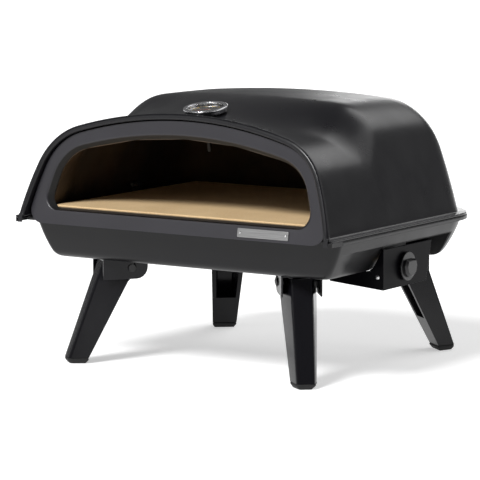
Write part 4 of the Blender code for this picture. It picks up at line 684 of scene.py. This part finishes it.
def tub_inset(z, wall):
    """How far a wall of the tub has moved in at height z: along its bow, then round the fillet."""
    straight = TUB_BRIM - TUB_BOTTOM - TUB_FILLET
    turn = (straight + wall.bow * math.sin(wall.lean)) / (wall.bow - TUB_FILLET)
    across = math.sqrt(1 - turn ** 2)
    if z >= TUB_BOTTOM + TUB_FILLET * (1 - turn):
        sine = math.sin(wall.lean) + (TUB_BRIM - z) / wall.bow
        return wall.bow * (math.cos(wall.lean) - math.sqrt(1 - sine ** 2))
    sine = min(1 - (z - TUB_BOTTOM) / TUB_FILLET, 1)
    return wall.bow * (math.cos(wall.lean) - across) + TUB_FILLET * (across - math.sqrt(1 - sine ** 2))


def rounded_rectangle(x0, y0, x1, y1, radii, z):
    corners = [(x1, y0, -0.5), (x1, y1, 0.0), (x0, y1, 0.5), (x0, y0, 1.0)]
    points = []
    for (x, y, turn), radius in zip(corners, radii):
        cx = x - radius if x == x1 else x + radius
        cy = y - radius if y == y1 else y + radius
        points += arc(cx, cy, radius, turn * math.pi, (turn + 0.5) * math.pi, CORNER_STEPS)
    return [Vector((px, py, z)) + SHIFT for px, py in points]


def tub_ring(z):
    half = TUB_HALF_WIDTH - tub_inset(z, TUB_SIDE_WALL)
    front = TUB_FRONT + tub_inset(z, TUB_FRONT_WALL)
    back = TUB_BACK - tub_inset(z, TUB_BACK_WALL)
    return rounded_rectangle(-half, front, half, back,
                             [TUB_FRONT_CORNER, TUB_BACK_CORNER, TUB_BACK_CORNER, TUB_FRONT_CORNER], z)


def brim_ring(out, z):
    half = TUB_HALF_WIDTH + out
    back = TUB_BACK_CORNER + out
    return rounded_rectangle(-half, TUB_FRONT - out, half, TUB_BACK + out,
                             [TUB_BRIM_CORNER, back, back, TUB_BRIM_CORNER], z)


def make_tub(mat):
    out = TUB_BRIM_WIDTH - TUB_SHEET
    corner = Vector((out, TUB_BRIM))
    edge = bend(corner - Vector((0, TUB_BEND)), corner, corner - Vector((TUB_BEND, 0)))
    rings = [brim_ring(out, TUB_BRIM - TUB_LIP)] + [brim_ring(*point) for point in edge]
    low = TUB_BOTTOM + TUB_FILLET
    levels = [TUB_BRIM + (low - TUB_BRIM) * k / WALL_STEPS for k in range(WALL_STEPS + 1)]
    turns = [math.pi / 2 * k / FILLET_STEPS for k in range(1, FILLET_STEPS + 1)]
    levels += [low - TUB_FILLET * math.sin(turn) for turn in turns]
    rings += [tub_ring(z) for z in levels]
    bm = loft(rings, cap=False)
    bm.verts.ensure_lookup_table()
    bm.faces.new(bm.verts[-len(rings[0]):])
    inside = SHIFT + Vector((0, 0, TUB_BRIM + OVERRUN))
    tub = add_object("tub_pressing", mesh_from("tub_pressing", bm, inside))
    thicken(tub, TUB_SHEET)
    low = Vector((NOTCH_LEFT, NOTCH_FRONT, TUB_BOTTOM - OVERRUN)) + SHIFT
    high = Vector((TUB_HALF_WIDTH + OVERRUN, NOTCH_BACK, NOTCH_TOP)) + SHIFT
    notch = add_object("notch", mesh_from("notch", block(low, high)))
    cut = tub.modifiers.new("notch", "BOOLEAN")
    cut.object = notch
    settle(tub)
    bpy.data.objects.remove(notch)
    dress(tub, mat, ["tub"])
    make_tub_ears(mat)


def make_tub_ears(mat):
    """The sides of the brim run on under the hood's flange, ahead of the tub's front wall."""
    outer = TUB_HALF_WIDTH + TUB_BRIM_WIDTH
    inner = outer - TUB_SHEET
    low = TUB_BRIM - TUB_LIP
    top = TUB_BRIM + TUB_SHEET
    outline = [(HOOD_HALF_WIDTH, TUB_BRIM), (inner, TUB_BRIM), (inner, low), (outer, low), (outer, top),
               (HOOD_HALF_WIDTH, top)]
    places = (RIM_FRONT + HOOD_SHEET + GAP, TUB_FRONT - TUB_BRIM_WIDTH + TUB_BRIM_CORNER)
    for side, sign in (("right", 1), ("left", -1)):
        bm = loft([[Vector((sign * x, y, z)) + SHIFT for x, z in outline] for y in places])
        ear = add_object(f"tub_brim_end_{side}", mesh_from("tub_brim_end", bm))
        round_edges(ear, SHEET_ROUND_SHARE * TUB_SHEET)
        dress(ear, mat, [])


# Thermometer

def joint_matrix(name, sign):
    """The place of a joint with Z along its axis, turned about when sign is -1."""
    joint = next(j for j in frame["record"]["behaviour"]["joints"] if j["name"] == name)
    axis = Vector(joint["axis"]).normalized() * sign
    across = Vector((1, 0, 0)) if abs(axis.x) < ALONG_X else Vector((0, 1, 0))
    upward = axis.cross(across).normalized()
    matrix = Matrix((across, upward, axis)).transposed().to_4x4()
    matrix.translation = Vector(joint["pos_m"])
    return matrix


def on_seat(obj, matrix):
    obj.data.transform(matrix)
    return obj


def round_plate(radius, low, high):
    return lathe([(0, low), (radius, low), (radius, high), (0, high)])


def make_thermometer(mats):
    seat = joint_matrix("temperature", -1)
    edge = BEZEL_ROUND_SHARE * (BEZEL_TOP - BEZEL_LOW)
    outer, inner = BEZEL_OUTER - edge, BEZEL_INNER + edge
    low, top = BEZEL_LOW + edge, BEZEL_TOP - edge
    profile = [(BEZEL_INNER, BEZEL_LOW)]
    profile += arc(outer, low, edge, -math.pi / 2, 0, BEND_STEPS)
    profile += arc(outer, top, edge, 0, math.pi / 2, BEND_STEPS)
    profile += arc(inner, top, edge, math.pi / 2, math.pi, BEND_STEPS)
    bm = lathe(profile, closed=True)
    bezel = on_seat(add_object("bezel_ring", mesh_from("bezel_ring", bm)), seat)
    dress(bezel, mats["chrome"], ["thermometer_bezel"])
    refined("thermometer_case", CASE_EDGE, mats["dark_chrome"])
    disc = round_plate(DIAL_RADIUS, DIAL_TOP - DIAL_THICKNESS, DIAL_TOP)
    dial = on_seat(add_object("dial_face", mesh_from("dial_face", disc)), seat)
    dress(dial, mats["dial"], ["thermometer_dial"])
    band = on_seat(add_object("dial_band", dial_band()), seat)
    dress(band, mats["band"], [])
    marks = on_seat(add_object("dial_marks", dial_marks()), seat)
    dress(marks, mats["print"], [])
    pane = round_plate(DIAL_RADIUS, GLASS_LOW, GLASS_LOW + GLASS_HEIGHT)
    glass = on_seat(add_object("dial_glass", mesh_from("dial_glass", pane)), seat)
    dress(glass, mats["glass"], ["thermometer_glass"])
    refined("thermometer_pointer", FINE_EDGE, mats["pointer"], "pointer")


def dial_band():
    """A warm coloured band along the dial's scale."""
    bm = bmesh.new()
    angles = [DIAL_START - DIAL_SWEEP * k / LATHE_STEPS for k in range(LATHE_STEPS + 1)]
    loops = []
    profile = ((BAND_INNER, DIAL_TOP), (BAND_INNER, BAND_TOP), (BAND_OUTER, BAND_TOP), (BAND_OUTER, DIAL_TOP))
    for radius, height in profile:
        loops.append([bm.verts.new((radius * math.cos(a), radius * math.sin(a), height)) for a in angles])
    for loop, following in zip(loops, loops[1:]):
        strip(bm, loop, following)
    return mesh_from("dial_band", bm)


def add_tick(bm, angle, tick, low, high):
    across, along = Vector((-math.sin(angle), math.cos(angle))), Vector((math.cos(angle), math.sin(angle)))
    inner = DIAL_RADIUS * tick.inner_share
    outer = TICK_OUTER_SHARE * DIAL_RADIUS
    half = DIAL_RADIUS * tick.half_width_share
    corners = [along * r + across * side * half
               for r, side in ((inner, -1), (outer, -1), (outer, 1), (inner, 1))]
    rings = [[bm.verts.new((*corner, z)) for corner in corners] for z in (low, high)]
    strip(bm, rings[0] + rings[0][:1], rings[1] + rings[1][:1])
    bm.faces.new(rings[1])


def add_number(bm, angle, number, middle):
    text = bpy.data.curves.new("number", "FONT")
    text.body = str(number)
    text.size = NUMBER_SIZE_SHARE * DIAL_RADIUS
    text.align_x = "CENTER"
    text.align_y = "CENTER"
    text.extrude = MARK_HEIGHT / 2
    holder = add_object("number", text)
    bpy.context.view_layer.update()
    graph = bpy.context.evaluated_depsgraph_get()
    mesh = bpy.data.meshes.new_from_object(holder.evaluated_get(graph))
    reach = NUMBER_PLACE_SHARE * DIAL_RADIUS
    mesh.transform(Matrix.Translation((reach * math.cos(angle), reach * math.sin(angle), middle)))
    bm.from_mesh(mesh)
    bpy.data.objects.remove(holder)


def dial_marks():
    """Ticks and plain numbers round the dial, just proud of it."""
    bm = bmesh.new()
    gaps = len(DIAL_NUMBERS) - 1
    steps = TICKS_PER_NUMBER * gaps
    for k in range(steps + 1):
        tick = MAIN_TICK if k % TICKS_PER_NUMBER == 0 else SMALL_TICK
        add_tick(bm, DIAL_START - DIAL_SWEEP * k / steps, tick, DIAL_TOP, DIAL_TOP + MARK_HEIGHT)
    for k, number in enumerate(DIAL_NUMBERS):
        add_number(bm, DIAL_START - DIAL_SWEEP * k / gaps, number, DIAL_TOP + MARK_HEIGHT / 2)
    mesh = bpy.data.meshes.new("dial_marks")
    bm.to_mesh(mesh)
    bm.free()
    return mesh


# Legs

def make_leg_head(corner, mat):
    """The round roll across a leg's top, about its pivot."""
    inner = LEG_HEAD_RADIUS - LEG_HEAD_ROUND
    half = LEG_HEAD_LENGTH / 2
    profile = [(0, -half), (inner, -half), (LEG_HEAD_RADIUS, LEG_HEAD_ROUND - half),
               (LEG_HEAD_RADIUS, half - LEG_HEAD_ROUND), (inner, half), (0, half)]
    head = add_object(f"leg_head_{corner}", mesh_from("leg_head", lathe(profile)))
    on_seat(head, joint_matrix(f"fold_{corner}", 1))
    dress(head, mat, [], f"{corner}_leg")


# Knob

def make_knob(mat):
    seat = joint_matrix("knob_turn", 1)
    seat.translation.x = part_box("knob")[0].x
    profile = [(0, 0), (KNOB_RADIUS, 0)]
    profile += [(KNOB_RADIUS - KNOB_ROUND + x, KNOB_SKIRT - KNOB_ROUND + z)
                for x, z in arc(0, 0, KNOB_ROUND, 0, math.pi / 2, BEND_STEPS)]
    profile.append((0, KNOB_SKIRT))
    bm = lathe(profile)
    start = math.asin(KNOB_FLAT / KNOB_GRIP_RADIUS)
    outline = arc(0, 0, KNOB_GRIP_RADIUS, start, -math.pi - start, KNOB_FACETS)
    top = KNOB_SKIRT + KNOB_GRIP
    rings = [[bm.verts.new((x * spread, y * spread, z)) for x, y in outline]
             for z, spread in ((KNOB_SKIRT / 2, KNOB_SPREAD), (top - KNOB_GRIP / 2, KNOB_SPREAD), (top, 1))]
    for ring, following in zip(rings, rings[1:]):
        strip(bm, ring + ring[:1], following + following[:1])
    bm.faces.new(rings[-1])
    bm.faces.new(rings[0][::-1])
    knob = add_object("knob_moulding", mesh_from("knob_moulding", bm))
    turned = Matrix(((0, 0, 1), (1, 0, 0), (0, 1, 0))).to_4x4()
    turned.translation = seat.translation
    on_seat(knob, turned)
    round_edges(knob, KNOB_EDGE, KNOB_EDGE_STEPS)
    weigh_normals(knob)
    dress(knob, mat, ["knob"], "knob")


# Materials

def shader_of(name, colour, roughness, metallic=0.0):
    mat = bpy.data.materials.new(name)
    mat.use_nodes = True
    shader = mat.node_tree.nodes["Principled BSDF"]
    shader.inputs["Base Color"].default_value = (*colour, 1)
    shader.inputs["Roughness"].default_value = roughness
    shader.inputs["Metallic"].default_value = metallic
    mat.diffuse_color = (*colour, 1)
    return mat, shader


def noise(mat, scale, detail=3.0, stretch=(1, 1, 1)):
    """The factor of a noise in the piece's own metres."""
    nodes, links = mat.node_tree.nodes, mat.node_tree.links
    place = nodes.new("ShaderNodeTexCoord")
    mapping = nodes.new("ShaderNodeMapping")
    mapping.inputs["Scale"].default_value = stretch
    texture = nodes.new("ShaderNodeTexNoise")
    texture.inputs["Scale"].default_value = scale
    texture.inputs["Detail"].default_value = detail
    links.new(place.outputs["Object"], mapping.inputs["Vector"])
    links.new(mapping.outputs["Vector"], texture.inputs["Vector"])
    return texture.outputs["Fac"]


def between(mat, factor, low, high, from_low=NOISE_LOW, from_high=NOISE_HIGH):
    """A value from low to high as the factor goes over its range."""
    node = mat.node_tree.nodes.new("ShaderNodeMapRange")
    node.inputs["From Min"].default_value = from_low
    node.inputs["From Max"].default_value = from_high
    node.inputs["To Min"].default_value = low
    node.inputs["To Max"].default_value = high
    mat.node_tree.links.new(factor, node.inputs["Value"])
    return node.outputs["Result"]


def mixed(mat, factor, first, second):
    """A colour from first to second; each is a colour or a socket."""
    node = mat.node_tree.nodes.new("ShaderNodeMix")
    node.data_type = "RGBA"
    mat.node_tree.links.new(factor, node.inputs["Factor"])
    for socket, colour in ((node.inputs[MIX_FIRST], first), (node.inputs[MIX_SECOND], second)):
        if isinstance(colour, tuple):
            socket.default_value = (*colour, 1)
        else:
            mat.node_tree.links.new(colour, socket)
    return node.outputs[MIX_RESULT]


def bump(mat, shader, factor, strength, distance):
    node = mat.node_tree.nodes.new("ShaderNodeBump")
    node.inputs["Strength"].default_value = strength
    node.inputs["Distance"].default_value = distance
    mat.node_tree.links.new(factor, node.inputs["Height"])
    mat.node_tree.links.new(node.outputs["Normal"], shader.inputs["Normal"])


def coated(name, colour, roughness, grain=COAT_GRAIN_SCALE, depth=COAT_GRAIN_DEPTH, gloss=0.5):
    """Powder coat: a fine grain, and a slow drift of its colour and gloss."""
    mat, shader = shader_of(name, colour, roughness)
    shader.inputs["Specular IOR Level"].default_value = gloss
    links = mat.node_tree.links
    drift = noise(mat, COAT_DRIFT_SCALE)
    light = tuple(COAT_LIGHT_SHARE * c for c in colour)
    dark = tuple(COAT_DARK_SHARE * c for c in colour)
    links.new(mixed(mat, between(mat, drift, 0.0, 1.0), dark, light), shader.inputs["Base Color"])
    smoother, rougher = roughness - COAT_ROUGHNESS_DRIFT, roughness + COAT_ROUGHNESS_DRIFT
    links.new(between(mat, noise(mat, COAT_GLOSS_SCALE), smoother, rougher), shader.inputs["Roughness"])
    bump(mat, shader, noise(mat, grain, detail=2.0), COAT_BUMP, depth)
    return mat


def moulded(name, colour, roughness):
    """Plastic, rubber, enamel, print or ceramic with a matt grain."""
    return coated(name, colour, roughness, MOULDED_GRAIN_SCALE, MOULDED_GRAIN_DEPTH)


def brushed(name, colour, roughness, stretch):
    """Metal with fine lines, stretched as given along its three axes."""
    mat, shader = shader_of(name, colour, roughness, metallic=1.0)
    links = mat.node_tree.links
    lines = noise(mat, BRUSH_SCALE, detail=4.0, stretch=stretch)
    dark = tuple(BRUSH_DARK_SHARE * c for c in colour)
    links.new(mixed(mat, between(mat, lines, 0.0, 1.0), dark, colour), shader.inputs["Base Color"])
    smoother, rougher = roughness - BRUSH_SMOOTHER, roughness + BRUSH_ROUGHER
    links.new(between(mat, lines, smoother, rougher), shader.inputs["Roughness"])
    bump(mat, shader, lines, BRUSH_BUMP, BRUSH_DEPTH)
    return mat


def heat_tint_and_reflection_steel():
    """Liner steel, dark with brown tints: partly heat tint, partly a painted reflection of the stone."""
    mat, shader = shader_of("heat_tint_and_reflection_steel", (0.080, 0.058, 0.040), roughness=0.42, metallic=0.6)
    links = mat.node_tree.links
    tint = mixed(mat, between(mat, noise(mat, scale=11.0), 0.0, 1.0), LINER_DARK, LINER_HEAT_AND_REFLECTION_BROWN)
    links.new(tint, shader.inputs["Base Color"])
    links.new(between(mat, noise(mat, scale=40.0), *LINER_ROUGHNESSES), shader.inputs["Roughness"])
    bump(mat, shader, noise(mat, scale=300.0), strength=0.3, distance=0.0001)
    return mat


def fired_stone():
    """Light brown stone with a fine dark and light speckle, and painted shade darkening its sides below the
    top edge.
    """
    mat, shader = shader_of("fired_stone", (0.77, 0.55, 0.30), roughness=0.85)
    links = mat.node_tree.links
    colour = mixed(mat, between(mat, noise(mat, scale=14.0), 0.0, 1.0), STONE_DARK, STONE_LIGHT)
    specks = between(mat, noise(mat, scale=700.0, detail=2.0), 0.0, 1.0, *DARK_SPECKLE_SHARES)
    colour = mixed(mat, specks, colour, DARK_SPECKLE)
    specks = between(mat, noise(mat, scale=500.0, detail=2.0), 0.0, 1.0, *LIGHT_SPECKLE_SHARES)
    colour = mixed(mat, specks, colour, LIGHT_SPECKLE)
    place = mat.node_tree.nodes.new("ShaderNodeTexCoord")
    parts = mat.node_tree.nodes.new("ShaderNodeSeparateXYZ")
    links.new(place.outputs["Object"], parts.inputs[0])
    # Everything below the stone's top edge darkens towards a near-black brown: painted shade
    painted_edge_shade_mask = between(mat, parts.outputs["Z"], 1.0, 0.0, STONE_TOP - EDGE_SHADE_FULL, STONE_TOP - EDGE_SHADE_START)
    links.new(mixed(mat, painted_edge_shade_mask, colour, PAINTED_EDGE_SHADE), shader.inputs["Base Color"])
    bump(mat, shader, noise(mat, scale=900.0), strength=0.5, distance=0.0003)
    return mat


def clear_glass():
    mat, shader = shader_of("clear_glass", (0.95, 0.97, 0.97), roughness=0.03)
    shader.inputs["Transmission Weight"].default_value = 1.0
    shader.inputs["IOR"].default_value = 1.45
    bump(mat, shader, noise(mat, scale=60.0), strength=0.05, distance=0.0001)
    return mat


def make_materials():
    return {
        "hood": coated("hood_coat", (0.0052, 0.0050, 0.0068), 0.30, depth=HOOD_GRAIN_DEPTH, gloss=0.37),
        "panel": coated("panel_coat", (0.0200, 0.0188, 0.0240), 0.38),
        "tub": coated("tub_coat", (0.0040, 0.0038, 0.0048), 0.34, gloss=0.32),
        "box": coated("box_coat", (0.0026, 0.0024, 0.0034), 0.34, gloss=0.05),
        "leg": coated("leg_coat", (0.0052, 0.0050, 0.0066), 0.20, LEG_GRAIN_SCALE, LEG_GRAIN_DEPTH,
                      gloss=0.26),
        # Near-black coat for the valve recess, the flame guard and the mouth's lip; on the lip it is painted
        # shade
        "recess": coated("recess_coat", (0.0050, 0.0050, 0.0055), 0.65),
        "black": coated("blackened_screw", (0.0080, 0.0080, 0.0085), 0.35),
        "knob": moulded("knob_plastic", (0.0045, 0.0045, 0.0050), 0.32),
        "rubber": moulded("foot_rubber", (0.0090, 0.0090, 0.0090), 0.75),
        # The igniter's ceramic is made far darker than its own white: painted shade inside the oven
        "ceramic": moulded("shade_darkened_ceramic", (0.085, 0.075, 0.062), 0.55),
        "dial": moulded("dial_enamel", (0.050, 0.038, 0.022), 0.45),
        "print": moulded("dial_print", (0.62, 0.47, 0.22), 0.60),
        "pointer": moulded("pointer_enamel", (0.35, 0.03, 0.02), 0.40),
        "band": moulded("dial_band_enamel", (0.46, 0.27, 0.05), 0.50),
        "steel": brushed("mill_steel", (0.20, 0.19, 0.18), 0.42, LINES),
        "dark_steel": brushed("dark_steel", (0.030, 0.027, 0.024), 0.50, LINES),
        "plate": brushed("plate_steel", (0.35, 0.35, 0.35), 0.34, LONG_LINES),
        "bright": brushed("bright_steel", (0.72, 0.72, 0.72), 0.26, EVEN_LINES),
        "chrome": brushed("chrome_plate", (0.74, 0.74, 0.76), 0.20, WIDE_LINES),
        "dark_chrome": brushed("dark_chrome", (0.16, 0.16, 0.17), 0.18, WIDE_LINES),
        # Brass made far darker than its own colour: painted shade where the pipe shows in the gap by the
        # control box
        "brass": brushed("shade_darkened_brass", (0.20, 0.140, 0.065), 0.38, RING_LINES),
        "liner": heat_tint_and_reflection_steel(),
        "stone": fired_stone(),
        "glass": clear_glass(),
    }


# Nodes whose solids are kept, or copied with rounder edges

def dress_nodes(mats):
    def keep(mat, *nodes):
        for node in nodes:
            for material_slot in frame["nodes"][node].material_slots:
                material_slot.material = mats[mat]

    keep("steel", "bottom_shield", "stone_rail_left", "stone_rail_right")
    # The probe and its nut hang inside the hood; their near-black steel stands in for the shade there:
    # painted shade
    keep("dark_steel", "thermometer_probe", "thermometer_nut")
    keep("brass", "gas_pipe", "gas_inlet", "valve_body", "valve_stem")
    keep("recess", "valve_recess", "flame_guard")
    # The igniter takes the darkened ceramic, painted shade
    keep("ceramic", "igniter")
    for corner in CORNERS:
        keep("steel", f"hood_screw_{corner}", f"bracket_rivet_{corner}")
        keep("black", f"pivot_pin_{corner}")
        refined(f"leg_{corner}", LEG_EDGE, mats["leg"], f"{corner}_leg")
        make_leg_head(corner, mats["leg"])
        refined(f"foot_pad_{corner}", LEG_EDGE, mats["rubber"], f"{corner}_leg")
        refined(f"leg_bracket_{corner}", BRACKET_EDGE, mats["leg"])
    for node in ("burner_bar", "burner_supply"):
        refined(node, BOX_EDGE, mats["dark_steel"])
    refined("hood_liner", THIN_EDGE, mats["liner"])
    refined("pizza_stone", STONE_EDGE, mats["stone"])
    refined("control_box", BOX_EDGE, mats["box"])
    refined("box_screw", THIN_EDGE, mats["bright"])
    refined("nameplate", THIN_EDGE, mats["plate"])
    for side in ("left", "right"):
        refined(f"nameplate_rivet_{side}", FINE_EDGE, mats["bright"])


# Studio

def make_camera():
    forward = Vector((-math.sin(CAMERA_YAW) * math.cos(CAMERA_PITCH),
                      math.cos(CAMERA_YAW) * math.cos(CAMERA_PITCH),
                      -math.sin(CAMERA_PITCH)))
    data = bpy.data.cameras.new("camera")
    data.lens = CAMERA_LENS
    data.sensor_width = SENSOR_WIDTH
    data.clip_end = 2 * FLOOR_SIZE
    camera = add_object("camera", data)
    camera.location = CAMERA_TARGET - forward * CAMERA_DISTANCE
    camera.rotation_euler = forward.to_track_quat("-Z", "Y").to_euler()
    bpy.context.scene.camera = camera


def seen_plainly(tree):
    """1 for rays from the camera and for glossy and transmitted ones."""
    path = tree.nodes.new("ShaderNodeLightPath")
    seen = path.outputs["Is Camera Ray"]
    for name in ("Is Glossy Ray", "Is Transmission Ray"):
        joined = tree.nodes.new("ShaderNodeMath")
        joined.operation = "MAXIMUM"
        tree.links.new(seen, joined.inputs[0])
        tree.links.new(path.outputs[name], joined.inputs[1])
        seen = joined.outputs[0]
    return seen


def make_floor():
    bm = bmesh.new()
    bmesh.ops.create_grid(bm, x_segments=1, y_segments=1, size=FLOOR_SIZE / 2)
    mesh = bpy.data.meshes.new("floor")
    bm.to_mesh(mesh)
    bm.free()
    floor = add_object("floor", mesh)
    floor.data.materials.append(floor_material())


def floor_material():
    """White to the camera and in reflections, with the oven's shadow on it."""
    mat, shader = shader_of("floor", FLOOR_COLOUR, FLOOR_ROUGHNESS)
    tree = mat.node_tree
    shader.inputs["Specular IOR Level"].default_value = 0.0
    glow = tree.nodes.new("ShaderNodeEmission")
    strength = tree.nodes.new("ShaderNodeMath")
    strength.operation = "MULTIPLY"
    strength.inputs[1].default_value = FLOOR_GLOW
    tree.links.new(seen_plainly(tree), strength.inputs[0])
    tree.links.new(strength.outputs[0], glow.inputs["Strength"])
    both = tree.nodes.new("ShaderNodeAddShader")
    tree.links.new(shader.outputs[0], both.inputs[0])
    tree.links.new(glow.outputs[0], both.inputs[1])
    tree.links.new(both.outputs[0], tree.nodes["Material Output"].inputs["Surface"])
    return mat


def make_world():
    """An even fill from all round."""
    world = bpy.data.worlds.new("studio")
    world.use_nodes = True
    background = world.node_tree.nodes["Background"]
    background.inputs["Color"].default_value = (1, 1, 1, 1)
    background.inputs["Strength"].default_value = WORLD_FILL
    bpy.context.scene.world = world


def make_lamps():
    """Wide, distant lights, so that the floor is lit evenly out to its edge."""
    for lamp in LAMPS:
        data = bpy.data.lights.new(lamp.name, "SUN")
        data.angle = lamp.angle
        data.energy = lamp.strength
        light = add_object(lamp.name, data)
        light.location = lamp.place
        light.rotation_euler = (-Vector(lamp.place)).to_track_quat("-Z", "Y").to_euler()


bpy.context.scene.view_settings.view_transform = "Standard"
MATS = make_materials()
make_camera()
make_floor()
make_world()
make_lamps()
make_hood(MATS["hood"])
make_panel(MATS["panel"], MATS["recess"])
make_tub(MATS["tub"])
make_thermometer(MATS)
make_knob(MATS["knob"])
dress_nodes(MATS)

bpy.context.view_layer.update()
